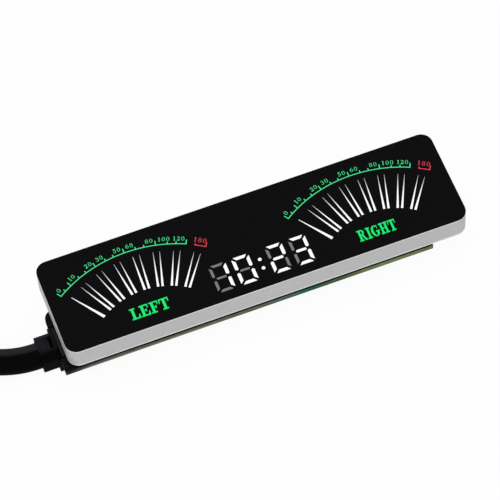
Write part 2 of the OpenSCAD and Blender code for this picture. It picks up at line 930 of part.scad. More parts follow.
module plug_contacts() {
    color("#c9a24a") at_plug() insert_contacts();
}

// Lead: one tube swept along points, with rings square to the path
function unit(v) = v / norm(v);
function along(p, i) = unit(p[min(i + 1, len(p) - 1)] - p[max(i - 1, 0)]);
function sideways(t) = unit(cross(t, [0, 0, 1]));
function ring(p, i, r, n) = let (t = along(p, i), s = sideways(t), u = cross(s, t))
    [for (k = [0:n - 1]) p[i] + r * (cos(360 * k / n) * s + sin(360 * k / n) * u)];

module tube(p, r, n) {
    m = len(p);
    points = [for (i = [0:m - 1]) each ring(p, i, r, n)];
    skin = [for (i = [0:m - 2], k = [0:n - 1]) let (a = i * n + k, b = i * n + (k + 1) % n)
        each [[a, b + n, b], [a, a + n, b + n]]];
    first = [for (k = [1:n - 2]) [0, k, k + 1]];
    last = [for (k = [1:n - 2]) [(m - 1) * n, (m - 1) * n + k + 1, (m - 1) * n + k]];
    polyhedron(points, concat(skin, first, last));
}

// Straps that hold the coil, and the height that they lift it to
strap_w = 8;
strap_t = 0.8;
strap_ease = 0.4;
coil_z = lead_d / 2 + strap_ease + strap_t;

// The coil: an oval wound inwards on the straps and outwards on top of that
coil_out = 55.65;
coil_meet = 15.8;
coil_x = plug_back - coil_out;
coil_run = 34;
coil_in_r = 3 * lead_d;
coil_step = lead_d + 1;
coil_rise = lead_d + 0.5;
rings_a_loop = 24;
run_rings = 4;
bend_rings = 8;
climb = 0.5;
// The winding reverses, and later ends, in the middle of the bend farthest from the module
far_bend = (run_rings + bend_rings / 2) / rings_a_loop;
coil_in_turns = 1 + far_bend;
coil_turns = 2 + far_bend;
coil_y = socket_y + coil_meet - coil_in_r - coil_step * coil_in_turns;

function coil_r(u) = coil_in_r + coil_step * abs(u - coil_in_turns);
function coil_up(u) = let (c = min(max((u - coil_in_turns) / climb + 0.5, 0), 1))
    coil_z + coil_rise * (1 - cos(180 * c)) / 2;
function coil_xy(u) = let (
        r = coil_r(u),
        i = (u - floor(u)) * rings_a_loop,
        a = 180 / bend_rings,
        half = run_rings + bend_rings
    )
    i < run_rings ? [coil_x - coil_run * i / run_rings, coil_y + r] :
    i < half ? [coil_x - coil_run, coil_y] + r * upright((i - run_rings) * a) :
    i < half + run_rings ? [coil_x - coil_run * (half + run_rings - i) / run_rings, coil_y - r] :
    [coil_x, coil_y] + r * upright(180 + (i - half - run_rings) * a);
function coil_point(u) = let (p = coil_xy(u)) [p.x, p.y, coil_up(u)];

// Each end of the coil runs straight for one diameter
coil_rings = [for (k = [0:coil_turns * rings_a_loop]) coil_point(k / rings_a_loop)];
coil_start = coil_rings[0] + [lead_d, 0, 0];
coil_end = coil_rings[len(coil_rings) - 1] - [0, lead_d, 0];
coil_path = concat([coil_start], coil_rings, [coil_end]);

// The free stretch from the plug's back to the coil, square to both, as steps from that back
lead_route = [[-2.75, 0.1], [-5.05, 0.4], [-7.25, 0.9], [-9.45, 1.6], [-11.75, 2.5], [-15.25, 3.9],
    [-19.25, 5.6], [-23.25, 7.3], [-27.25, 9], [-31.25, 10.7], [-35.25, 12.3], [-39.25, 13.8],
    [-42.25, 14.8], [-45.25, 15.5]];
lead_end_l = 1;
function ease_in(t) = t * t * (3 - 2 * t);
lead_path = concat([[plug_back, socket_y, plug_z], [plug_back - lead_end_l, socket_y, plug_z]],
    [for (i = [0:len(lead_route) - 1])
        [plug_back + lead_route[i].x, socket_y + lead_route[i].y,
            plug_z + (coil_z - plug_z) * ease_in(i / (len(lead_route) - 1))]],
    [coil_start + [lead_end_l, 0, 0], coil_start]);

function length_of(p) = len(p) < 2 ? 0 :
    norm(p[1] - p[0]) + length_of([for (i = [1:len(p) - 1]) p[i]]);
// Distance from a point to the stretch between two others
function off_stretch(q, a, b) = let (d = b - a, t = min(max((q - a) * d / (d * d), 0), 1))
    norm(q - a - t * d);
coil_gap = min([for (i = [0:len(coil_path) - 1], j = [0:len(coil_path) - 2])
    if (abs(i - j) > rings_a_loop / 2)
        off_stretch(coil_path[i], coil_path[j], coil_path[j + 1])]) - lead_d;
echo(lead_length = length_of(lead_path) + length_of(coil_path), coil_gap_to_itself = coil_gap);

module lead_cable() {
    color("#101012") tube(lead_path, lead_d / 2, 10);
}

module lead_coil() {
    color("#101012") tube(coil_path, lead_d / 2, 6);
}

// A strap round the strands that pass one place of the coil's runs
module strap(ring_at) {
    places = [for (n = [0:coil_turns]) n + ring_at / rings_a_loop];
    strands = [for (u = places) if (u <= coil_turns) [coil_xy(u).y, coil_up(u)]];
    inner = lead_d / 2 + strap_ease;
    translate([coil_xy(ring_at / rings_a_loop).x - strap_w / 2, 0, 0])
        rotate([90, 0, 90]) linear_extrude(strap_w) difference() {
            hull() for (p = strands) translate(p) circle(inner + strap_t, $fn = 32);
            hull() for (p = strands) translate(p) circle(inner, $fn = 32);
        }
}

module lead_ties() {
    color("#1b1c1e") {
        strap(run_rings / 2);
        strap(run_rings + bend_rings + run_rings / 2);
    }
}

module at_far_plug() {
    translate(coil_end) rotate(-90) children();
}

module far_plug() {
    color("#131315") at_far_plug() plug_grip();
}

module far_insert() {
    color("#1d1e21") at_far_plug() insert_block();
}

module far_contacts() {
    color("#c9a24a") at_far_plug() insert_contacts();
}

front_film();
display_housing();
left_pointer_lights();
right_pointer_lights();
left_scale_light();
right_scale_light();
left_peak_light();
right_peak_light();
hour_tens_segments();
hour_units_segments();
minute_tens_segments();
minute_units_segments();
colon_lights();
led_board();
white_led_chips();
green_led_chips();
red_led_chips();
front_display_pins();
rear_display_pins();
main_board();
controller_chip();
controller_leads();
driver_chips();
driver_leads();
clock_chip();
clock_chip_leads();
clock_crystal();
regulator();
regulator_tab();
chip_resistors();
chip_capacitors();
chip_end_caps();
capacitor_cans();
capacitor_bases();
switch_bodies();
switch_covers();
switch_domes();
switch_legs();
set_button();
up_button();
down_button();
socket_shell();
socket_core();
socket_contacts();
lead_plug();
plug_insert();
plug_contacts();
lead_cable();
lead_coil();
lead_ties();
far_plug();
far_insert();
far_contacts();
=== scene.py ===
import json
import math
from itertools import groupby

import bmesh
import bpy
from mathutils import Matrix, Vector

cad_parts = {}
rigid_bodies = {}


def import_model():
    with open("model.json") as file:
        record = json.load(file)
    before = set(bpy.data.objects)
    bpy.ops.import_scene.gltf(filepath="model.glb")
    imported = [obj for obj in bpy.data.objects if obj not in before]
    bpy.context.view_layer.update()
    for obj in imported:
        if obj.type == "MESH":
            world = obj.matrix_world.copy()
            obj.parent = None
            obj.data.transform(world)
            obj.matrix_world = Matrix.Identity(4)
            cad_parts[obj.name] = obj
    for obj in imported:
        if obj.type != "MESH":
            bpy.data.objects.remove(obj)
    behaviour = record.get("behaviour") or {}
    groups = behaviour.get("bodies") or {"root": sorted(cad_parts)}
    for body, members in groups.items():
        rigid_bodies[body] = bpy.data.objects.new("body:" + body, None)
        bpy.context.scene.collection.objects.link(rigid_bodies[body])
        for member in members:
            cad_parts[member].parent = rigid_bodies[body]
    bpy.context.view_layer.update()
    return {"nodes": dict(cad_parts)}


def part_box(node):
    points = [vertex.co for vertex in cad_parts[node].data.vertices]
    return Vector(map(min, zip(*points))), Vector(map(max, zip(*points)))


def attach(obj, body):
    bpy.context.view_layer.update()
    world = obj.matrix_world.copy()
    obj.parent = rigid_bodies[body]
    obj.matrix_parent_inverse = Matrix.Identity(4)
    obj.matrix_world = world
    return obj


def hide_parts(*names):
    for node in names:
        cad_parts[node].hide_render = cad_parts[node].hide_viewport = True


bl_info = {
    "name": "Dual level meter looks",
    "version": (1, 1, 0),
    "blender": (4, 5, 0),
    "location": "View3D > Sidebar > Level meter",
    "description": "Dresses a dual level meter and clock module with its lead",
    "category": "Object",
}

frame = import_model()
NODES = frame["nodes"]
MM = 0.001
FLIPPED = (math.pi, 0, 0)

# How close points have to be to be merged: in a solid, along a seam made here, across the empty faces of a bevel
SOLID_SEAM, MADE_SEAM, SLIVER = 1e-6, 1e-7, 2e-7
# The angle up to which neighbouring triangles are one flat face
FLAT = math.radians(0.5)

# Places that the pieces share, taken from the solids
FACE_LOW, FACE_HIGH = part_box("front_film")
BOARD_LOW, BOARD_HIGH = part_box("main_board")
UNDER_BOARD = BOARD_LOW.z
FACE_TOP = FACE_HIGH.z
FACE_FRONT = FACE_LOW.y
DIAL_IN = 23.33 * MM
DIALS = {"left": FACE_LOW.x + DIAL_IN, "right": FACE_HIGH.x - DIAL_IN}
SCALE_R = 34.5 * MM
DIAL_Y = FACE_FRONT + 22.9 * MM - SCALE_R
POINTER_Y = DIAL_Y + 2.8 * MM

# Nodes under the board that end in feet on it
FEET = ("controller_leads", "driver_leads", "clock_chip_leads", "regulator_tab", "chip_end_caps", "switch_legs")


def srgb(code):
    """Linear RGBA of an sRGB hex colour such as #808080."""
    parts = [int(code[i:i + 2], 16) / 255 for i in (1, 3, 5)]
    return tuple(c / 12.92 if c <= 0.04045 else ((c + 0.055) / 1.055) ** 2.4 for c in parts) + (1.0,)


def colour(name, code, words):
    return bpy.props.FloatVectorProperty(
        name=name, description=words, default=srgb(code), size=4, min=0, max=1, subtype="COLOR")


def length(name, mm, words):
    return bpy.props.FloatProperty(
        name=name, description=words, default=mm * MM, min=0, precision=5, subtype="DISTANCE", unit="LENGTH")


class MeterSizes(bpy.types.PropertyGroup):
    lead_d: length("Lead diameter", 6.8, "Diameter of the round lead")
    numeral_h: length("Numeral height", 1.2, "Height of the numerals on the scales")
    numeral_r: length("Numeral radius", 36.0, "Distance of the numerals from a dial's centre")
    word_h: length("Word height", 3.35, "Height of the channel words under the pointers")
    word_w: length("Word width", 10.2, "Width of the channel words under the pointers")
    word_y: length("Word place", 5.0, "Distance of the words' middle from the front edge")
    tip_share: bpy.props.FloatProperty(
        name="Tip share", description="Share of a paired pointer's tip that is lit", default=0.35, min=0, max=1)
    ink: length("Ink thickness", 0.012, "Height of printed marks over what carries them")
    face_edge: length("Face edge", 0.1, "Rounding of the housing's upper edge, under the film")
    housing_edge: length("Housing edge", 0.22, "Rounding of the housing's lower edge")
    plug_edge: length("Plug edge", 0.28, "Rounding of the plug's edges")
    chip_edge: length("Chip edge", 0.07, "Rounding of the edges of moulded and folded parts")
    solder_r: length("Solder radius", 0.8, "Radius of the solder round a display pin")
    pad_rim: length("Pad rim", 0.22, "How far solder shows round the foot of a lead")
    track_w: length("Track width", 0.34, "Width of the board's copper tracks")
    outline_w: length("Outline width", 0.16, "Width of the white outlines printed on the board")
    mouth_lip: length("Mouth lip", 0.42, "How far the socket's flared mouth stands out")
    strap_tail: length("Strap tail", 0.6, "Thickness of the strap's closed end over the strap")


class MeterColours(bpy.types.PropertyGroup):
    # The housing edge colour is a painted highlight on the housing's upper and lower edges
    edge: colour("Housing edge", "#e6e6e6", "Worn upper and lower edge of the housing")
    film: colour("Film", "#08080a", "Black ink on the back of the front film")
    wall: colour("Housing", "#b1b1b2", "Moulded housing")
    white: colour("White light", "#fdfeff", "Pointers and lit segments")
    faint: colour("Faint white light", "#d0d2d8", "Tips of the pointers, far from their light")
    unlit: colour("Unlit segment", "#7b7b7d", "Diffuser of a segment that is off")
    green: colour("Green light", "#45e592", "Scale arcs and numerals")
    word: colour("Word light", "#0ee86f", "Channel words")
    red: colour("Red light", "#e04050", "Peak marks")
    mask: colour("Solder mask", "#090e0c", "Lacquer on the boards")
    track: colour("Lacquered copper", "#203a2c", "Copper tracks under the lacquer")
    vinyl: colour("Vinyl", "#060607", "Lead and plug")
    # The vinyl highlight colour is a painted highlight on the upper rear side of the lead and plugs
    bloom: colour("Vinyl bloom", "#29292d", "Grey bloom on the upper side of the vinyl")
    strap: colour("Strap", "#17181a", "Woven straps round the coil")


def sizes():
    return bpy.context.scene.meter_sizes


def colours():
    return bpy.context.scene.meter_colours


# Working with pieces

def set_mode(mode):
    bpy.ops.object.mode_set(mode=mode)


def clear_selection():
    if bpy.context.mode != "OBJECT":
        set_mode("OBJECT")
    bpy.ops.object.select_all(action="DESELECT")


def pick(*objs):
    """Selects only these objects, the first of them active."""
    clear_selection()
    for o in objs:
        o.select_set(True)
    bpy.context.view_layer.objects.active = objs[0]


def edit(obj):
    """Opens a mesh in edit mode with all of it selected."""
    pick(obj)
    set_mode("EDIT")
    bpy.ops.mesh.select_all(action="SELECT")


def tidy_mesh(obj):
    """Closes a mesh's seams and turns its faces outwards."""
    edit(obj)
    bpy.ops.mesh.remove_doubles(threshold=MADE_SEAM)
    bpy.ops.mesh.normals_make_consistent(inside=False)
    set_mode("OBJECT")
    return obj


def new_object(name, data):
    made = bpy.data.objects.new(name, data)
    bpy.context.scene.collection.objects.link(made)
    return made


def join(objs, name):
    """Joins shapes into one piece whose place is in its mesh."""
    pick(*objs)
    if len(objs) > 1:
        bpy.ops.object.join()
    bpy.ops.object.transform_apply(location=True, rotation=True, scale=True)
    made = bpy.context.object
    made.name = made.data.name = name
    return made


def stamp(pattern, at, turn=(0, 0, 0), size=(1, 1, 1)):
    """A copy of a shape with a mesh of its own, at a place."""
    made = pattern.copy()
    made.data = pattern.data.copy()
    bpy.context.scene.collection.objects.link(made)
    made.location, made.rotation_euler, made.scale = at, turn, size
    return made


def discard(*objs):
    for o in objs:
        bpy.data.objects.remove(o)


def scatter(pattern, places, turn):
    """Stamps a shape at each place and discards the pattern."""
    made = [stamp(pattern, at, turn) for at in places]
    discard(pattern)
    return made


def finish_piece(made, name, material, replaces=(), body="module"):
    """Makes one shape, or several in a list, a piece: its name, material, body and the nodes it stands for."""
    piece = join(made, name) if isinstance(made, list) else made
    piece.name = piece.data.name = name
    piece.data.materials.clear()
    piece.data.materials.append(material)
    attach(piece, body)
    if replaces:
        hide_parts(*replaces)
    return piece


def copy_of(node, name):
    """A copy of a solid's mesh with its triangles merged into flat faces, ready to be worked on."""
    made = new_object(name, NODES[node].data.copy())
    pick(made)
    bpy.ops.mesh.customdata_custom_splitnormals_clear()
    edit(made)
    bpy.ops.mesh.remove_doubles(threshold=SOLID_SEAM)
    bpy.ops.mesh.dissolve_limited(angle_limit=FLAT)
    set_mode("OBJECT")
    return made


def select(obj, kind, wanted):
    """In edit mode, selects the edges, for EDGE, or the faces, for FACE, for which wanted(each) holds."""
    bpy.ops.mesh.select_mode(type=kind)
    bpy.ops.mesh.select_all(action="DESELECT")
    shape = bmesh.from_edit_mesh(obj.data)
    if kind == "FACE":
        shape.normal_update()
    for each in shape.faces if kind == "FACE" else shape.edges:
        if wanted(each):
            each.select_set(True)
    shape.select_flush_mode()
    bmesh.update_edit_mesh(obj.data)


def steeper(degrees):
    """A test for edges whose two faces meet at more than an angle."""
    return lambda e: e.calc_face_angle(0) > math.radians(degrees)


def round_edges(obj, offset, wanted, segments=2):
    """Rounds the edges for which wanted(edge) holds, and closes the faces that this leaves with no width."""
    edit(obj)
    select(obj, "EDGE", wanted)
    bpy.ops.mesh.bevel(offset=offset, segments=segments, affect="EDGES", clamp_overlap=True)
    bpy.ops.mesh.select_all(action="SELECT")
    bpy.ops.mesh.remove_doubles(threshold=SLIVER)
    set_mode("OBJECT")


def smooth(obj, degrees=35):
    pick(obj)
    bpy.ops.object.shade_smooth_by_angle(angle=math.radians(degrees))


def rounded(node, edge, material, steep=55, body="module"):
    """Stands a copy of a solid with rounded edges in the solid's place."""
    piece = copy_of(node, node + "_rounded")
    round_edges(piece, edge, steeper(steep))
    smooth(piece)
    finish_piece(piece, piece.name, material, [node], body)


def draw_out(by, scale=None, about=(0, 0, 0)):
    """In edit mode, extrudes what is selected and, where a scale is given, scales the new end about a point."""
    bpy.ops.mesh.extrude_region_move(TRANSFORM_OT_translate={"value": by})
    if scale:
        bpy.ops.transform.resize(value=scale, center_override=about)


def turned(profile, sides):
    """A closed round shape about Z, drawn up ring by ring through pairs of radius and height in millimetres."""
    clear_selection()
    radius, height = profile[0]
    bpy.ops.mesh.primitive_circle_add(
        vertices=sides, radius=radius * MM, fill_type="NGON", location=(0, 0, height * MM))
    bpy.ops.object.transform_apply(location=True)
    made = bpy.context.object
    edit(made)
    for (r0, z0), (r1, z1) in zip(profile, profile[1:]):
        draw_out((0, 0, (z1 - z0) * MM), (r1 / r0, r1 / r0, 1))
    return tidy_mesh(made)


def plate(height, draw_in):
    """A flat piece one metre square with sloping sides, to be stamped at any width and length."""
    clear_selection()
    bpy.ops.mesh.primitive_plane_add(size=1)
    made = bpy.context.object
    edit(made)
    draw_out((0, 0, height), (1 - draw_in, 1 - draw_in, 1))
    return tidy_mesh(made)


def drawn_lines(name, lines, closed, **settings):
    """A mesh from lines of points in metres, drawn as a curve with these settings."""
    data = bpy.data.curves.new(name, "CURVE")
    for key, value in settings.items():
        setattr(data, key, value)
    for line in lines:
        spline = data.splines.new("POLY")
        spline.points.add(len(line) - 1)
        for knot, (x, y) in zip(spline.points, line):
            knot.co = (x, y, 0, 1)
        spline.use_cyclic_u = closed
    pick(new_object(name, data))
    bpy.ops.object.convert(target="MESH")
    return bpy.context.object


def solids_of(node):
    """The points of each separate solid of a node, from left to right."""
    shape = bmesh.new()
    shape.from_mesh(NODES[node].data)
    bmesh.ops.remove_doubles(shape, verts=shape.verts, dist=SOLID_SEAM)
    seen, found = set(), []
    for first in shape.verts:
        if first in seen:
            continue
        seen.add(first)
        ahead, points = [first], []
        while ahead:
            v = ahead.pop()
            points.append(v.co.copy())
            for e in v.link_edges:
                other = e.other_vert(v)
                if other not in seen:
                    seen.add(other)
                    ahead.append(other)
        found.append(points)
    shape.free()
    return sorted(found, key=lambda points: tuple(round(c, 6) for c in middle(points)))


def span(points):
    return [Vector([end(p[i] for p in points) for i in range(3)]) for end in (min, max)]


def middle(points):
    low, high = span(points)
    return (low + high) / 2


def middles(*nodes):
    """The middle of each solid of some nodes."""
    return [middle(points) for n in nodes for points in solids_of(n)]


# Materials

# The range that most of a noise lies in, what a fine grain is made of, and how many grains wide its clouds are
NOISE_RANGE = (0.3, 0.7)
GRAIN = {"detail": 3.0, "Roughness": 0.55}
CLOUD_GRAINS = 18


def add_node(tree, kind, inputs=None, **settings):
    """Adds one node with its settings, and fills or links its inputs."""
    made = tree.nodes.new(kind)
    for key, value in settings.items():
        setattr(made, key, value)
    for key, value in (inputs or {}).items():
        if isinstance(value, bpy.types.NodeSocket):
            tree.links.new(value, made.inputs[key])
        else:
            made.inputs[key].default_value = value
    return made


def calc(tree, operation, *values):
    return add_node(tree, "ShaderNodeMath", dict(enumerate(values)), operation=operation).outputs[0]


def vector(tree, operation, output, *values):
    return add_node(tree, "ShaderNodeVectorMath", dict(enumerate(values)), operation=operation).outputs[output]


def remap(tree, value, start=0.0, end=1.0, low=0.0, high=1.0, **settings):
    """Carries a value that goes from start to end over to one that goes from low to high."""
    return add_node(tree, "ShaderNodeMapRange", {
        "Value": value, "From Min": start, "From Max": end, "To Min": low, "To Max": high}, **settings).outputs[0]


def blend(tree, share, first, second):
    """A colour between two others."""
    return add_node(tree, "ShaderNodeMix", {0: share, "A": first, "B": second}, data_type="RGBA").outputs["Result"]


def place(tree):
    return add_node(tree, "ShaderNodeTexCoord").outputs["Object"]


def stretched(tree, at, scale):
    return add_node(tree, "ShaderNodeMapping", {"Vector": at, "Scale": scale}).outputs[0]


def along(tree, at, axis):
    return add_node(tree, "ShaderNodeSeparateXYZ", {0: at}).outputs[axis]


def normal(tree):
    return add_node(tree, "ShaderNodeNewGeometry").outputs["Normal"]


def upward(tree):
    """How far a surface looks up, from -1 to 1."""
    return along(tree, normal(tree), "Z")


def noise(tree, at, size_mm, detail, **inputs):
    return add_node(tree, "ShaderNodeTexNoise", {
        "Vector": at, "Scale": 1 / (size_mm * MM), "Detail": detail, **inputs}).outputs["Fac"]


def threads(tree, at, pitch_mm, direction, **inputs):
    return add_node(tree, "ShaderNodeTexWave", {
        "Vector": at, "Scale": math.pi / (10 * pitch_mm * MM), **inputs}, bands_direction=direction).outputs["Fac"]


def bump(tree, height, depth_mm):
    return add_node(tree, "ShaderNodeBump", {"Height": height, "Distance": depth_mm * MM}).outputs[0]


def new_material(name, **inputs):
    """A material whose Principled shader has these plain values, spaces in their names written as _."""
    made = bpy.data.materials.new(name)
    made.use_nodes = True
    for key, value in inputs.items():
        made.node_tree.nodes["Principled BSDF"].inputs[key.replace("_", " ")].default_value = value
    return made, made.node_tree


def feed(tree, **outputs):
    """Links outputs to the Principled shader's inputs, spaces in their names written as _."""
    for key, value in outputs.items():
        tree.links.new(value, tree.nodes["Principled BSDF"].inputs[key.replace("_", " ")])


def tinted(tint, share):
    return [min(c * share, 1) for c in tint[:3]] + [1]


def grained(name, tint, rough, grain_mm, depth_mm, vary=0.12, spread=0.08, stretch=None, **inputs):
    """A surface whose colour, roughness and height follow one grain of a size in millimetres."""
    if name in bpy.data.materials:
        return bpy.data.materials[name]
    made, tree = new_material(name, **inputs)
    at = place(tree)
    if stretch:
        at = stretched(tree, at, stretch)
    grain = noise(tree, at, grain_mm, **GRAIN)
    cloud = noise(tree, at, CLOUD_GRAINS * grain_mm, 2.0)
    tone = remap(tree, calc(tree, "ADD", grain, cloud), *(2 * end for end in NOISE_RANGE))
    feed(tree,
         Base_Color=blend(tree, tone, tinted(tint, 1 - vary), tinted(tint, 1 + vary)),
         Roughness=remap(tree, grain, *NOISE_RANGE, rough - spread, rough + spread),
         Normal=bump(tree, grain, depth_mm))
    return made


def light_material(name, tint):
    """A dark, dull material that shines with a colour still to be fed to it."""
    return new_material(name, Roughness=0.4, Specular_IOR_Level=0.1, Emission_Strength=1.0,
                        Base_Color=tinted(tint, 0.08))


def lit(name, tint, dim=0.9, spot_mm=0.8):
    """Resin or ink with light behind it, slightly cloudy."""
    made, tree = light_material(name, tint)
    haze = noise(tree, place(tree), spot_mm, 2.0)
    feed(tree, Emission_Color=blend(tree, haze, tinted(tint, dim), tint))
    return made


def tin_plate():
    # Tin plate on leads and pins: bright, slightly frosted
    return grained("Tin plate", srgb("#c9ccd0"), 0.3, 0.15, 0.004, Metallic=1.0)


def solder():
    # Reflowed solder: brighter and smoother than the plated leads, with a faint frozen ripple
    return grained("Solder", srgb("#d3d5d8"), 0.2, 0.4, 0.012, Metallic=1.0)


def nylon():
    # Glass-filled nylon: black, satin, with a fine moulded grain
    return grained("Moulded nylon", srgb("#17181a"), 0.5, 0.2, 0.006, Specular_IOR_Level=0.4)


def gold_flash():
    # Thin gold over nickel on the contacts: warm and smooth
    return grained("Gold flash", srgb("#d8ad54"), 0.22, 0.2, 0.002, Metallic=1.0)


# The painted highlight on the vinyl: the side that it faces, how squarely a surface faces that side where it starts
# and where it is full, its thinnest patches, and how softly it ends at a line
HIGHLIGHT_SIDE, HIGHLIGHT_FACING = (0, 0.4, 0.917), (0.84, 0.98)
HIGHLIGHT_LEAST, HIGHLIGHT_FADE = 0.8, 0.8 * MM


def highlit_vinyl(name, grain_mm, above=None, behind=None):
    """Black vinyl with a painted grey highlight on its upper rear side, above a height and behind a line where given.
    """
    made, tree = new_material(name, Specular_IOR_Level=0.01)
    at = place(tree)
    grain = noise(tree, at, grain_mm, **GRAIN)
    faced = vector(tree, "DOT_PRODUCT", "Value", normal(tree), HIGHLIGHT_SIDE)
    highlight_share = remap(tree, faced, *HIGHLIGHT_FACING, interpolation_type="SMOOTHSTEP")
    if above is not None:
        highlight_share = calc(tree, "MULTIPLY", highlight_share, calc(tree, "GREATER_THAN", along(tree, at, "Z"), above))
    if behind is not None:
        rear = remap(tree, along(tree, at, "Y"), behind - HIGHLIGHT_FADE, behind + HIGHLIGHT_FADE)
        highlight_share = calc(tree, "MULTIPLY", highlight_share, rear)
    highlight_share = calc(tree, "MULTIPLY", highlight_share, remap(tree, grain, *NOISE_RANGE, low=HIGHLIGHT_LEAST))
    feed(tree,
         Base_Color=blend(tree, highlight_share, colours().vinyl, colours().bloom),
         Roughness=remap(tree, grain, low=0.35, high=0.6),
         Normal=bump(tree, grain, 0.01))
    return made


def dress(material, *nodes):
    for n in nodes:
        NODES[n].data.materials.clear()
        NODES[n].data.materials.append(material)


# The lead's route in millimetres, as its solids have it: the free run, then the coil
LEAD_ROUTE = [(-2.75, 0.1), (-5.05, 0.4), (-7.25, 0.9), (-9.45, 1.6), (-11.75, 2.5), (-15.25, 3.9), (-19.25, 5.6),
              (-23.25, 7.3), (-27.25, 9), (-31.25, 10.7), (-35.25, 12.3), (-39.25, 13.8), (-42.25, 14.8),
              (-45.25, 15.5)]
COIL_OUT, COIL_MEET, COIL_RUN, COIL_CLIMB = 55.65, 15.8, 34, 0.5
COIL_BEND_DIAMETERS, COIL_GAP, COIL_LIFT = 3, 1, 0.5
LOOP_RINGS, RUN_RINGS, BEND_RINGS = 24, 4, 8
FAR_BEND = (RUN_RINGS + BEND_RINGS / 2) / LOOP_RINGS
STRAP_LIFT = 0.4 + 0.8


def coil_point(k, d, start):
    """The point of ring k of the coil, an oval wound inwards and then outwards on top of that."""
    step = d + COIL_GAP
    inside = COIL_BEND_DIAMETERS * d
    u = k / LOOP_RINGS
    r = inside + step * abs(u - 1 - FAR_BEND)
    climb = min(max((u - 1 - FAR_BEND) / COIL_CLIMB + 0.5, 0), 1)
    z = d / 2 + STRAP_LIFT + (d + COIL_LIFT) * (1 - math.cos(math.pi * climb)) / 2
    middle_x = start.x - COIL_OUT
    middle_y = start.y + COIL_MEET - inside - step * (1 + FAR_BEND)
    half = RUN_RINGS + BEND_RINGS
    i = k % LOOP_RINGS
    side = 1 if i < half else -1
    i %= half
    if i < RUN_RINGS:
        x = middle_x - COIL_RUN * (i / RUN_RINGS if side > 0 else 1 - i / RUN_RINGS)
        return Vector((x, middle_y + side * r, z))
    a = math.pi * (i - RUN_RINGS) / BEND_RINGS
    x = middle_x - (COIL_RUN if side > 0 else 0)
    return Vector((x - side * r * math.sin(a), middle_y + side * r * math.cos(a), z))


def lead_points():
    """The lead's route in metres, from the plug's back through the coil to the far plug."""
    low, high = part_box("lead_plug")
    start = Vector((low.x, (low.y + high.y) / 2, (low.z + high.z) / 2)) / MM
    d = sizes().lead_d / MM
    rings = [coil_point(k, d, start) for k in range(round((2 + FAR_BEND) * LOOP_RINGS) + 1)]
    free = []
    for i, (x, y) in enumerate(LEAD_ROUTE):
        t = i / (len(LEAD_ROUTE) - 1)
        free.append(start + Vector((x, y, (rings[0].z - start.z) * t * t * (3 - 2 * t))))
    step = Vector((1, 0, 0))
    end = rings[0] + Vector((d, 0, 0))
    points = [start, start - step] + free + [end + step, end] + rings + [rings[-1] - Vector((0, d, 0))]
    return [p * MM for p in points]


# The camera: where it looks, how far it is tilted, and where it is in millimetres
LOOK = (0.1513, 0.5004, -0.8525)
CAMERA_TILT = math.radians(4.52)
CAMERA_AT, CAMERA_UP, CAMERA_LEFT = (-119.87, -397.55, 687.71), 0.181, 0.194
LENS, SENSOR = 224.3, 36
CLIP_NEAR, CLIP_FAR = 0.01, 20


class METER_OT_camera(bpy.types.Operator):
    """Sets the camera where the module is seen from the front left and above"""
    bl_idname = "meter.camera"
    bl_label = "Camera"

    def execute(self, context):
        look = Vector(LOOK).normalized()
        level = look.cross(Vector((0, 0, 1))).normalized()
        right = math.cos(CAMERA_TILT) * level + math.sin(CAMERA_TILT) * look.cross(level)
        up = right.cross(look)
        bpy.ops.object.camera_add()
        camera = context.object
        camera.name = "camera"
        turn = Matrix((right, up, -look)).transposed().to_4x4()
        at = Vector(CAMERA_AT) + CAMERA_UP * up - CAMERA_LEFT * right
        camera.matrix_world = Matrix.Translation(at * MM) @ turn
        camera.data.lens = LENS
        camera.data.sensor_width = SENSOR
        camera.data.clip_start = CLIP_NEAR
        camera.data.clip_end = CLIP_FAR
        context.scene.camera = camera
        return {"FINISHED"}


# The plugs' painted highlight: how far down from the top it goes, and how far in front of the middle it ends
HIGHLIGHT_DOWN, HIGHLIGHT_FRONT = 0.45 * MM, 1.6 * MM


class METER_OT_plugs(bpy.types.Operator):
    """Moulds the two plugs with softened edges and finishes what is inside them"""
    bl_idname = "meter.plugs"
    bl_label = "Plugs"

    def execute(self, context):
        # Vinyl moulded over the contacts: black and dull, with a painted grey highlight on top
        low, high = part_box("lead_plug")
        for node, name, behind in (("lead_plug", "Moulded vinyl", (low.y + high.y) / 2 - HIGHLIGHT_FRONT),
                                   ("far_plug", "Moulded vinyl of the far plug", None)):
            vinyl = highlit_vinyl(name, 0.3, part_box(node)[1].z - HIGHLIGHT_DOWN, behind)
            rounded(node, sizes().plug_edge, vinyl, steep=60, body="lead")
        dress(nylon(), "plug_insert", "far_insert")
        dress(gold_flash(), "plug_contacts", "far_contacts")
        return {"FINISHED"}


# The straps: the rim round a closed end, the rounding of the edges, and the least area of the side that takes the
# end, and how far it leans up and out
STRAP_RIM, STRAP_EDGE = 0.2 * MM, 0.12 * MM
STRAP_SIDE, STRAP_LEAN = 20 * MM * MM, 0.3


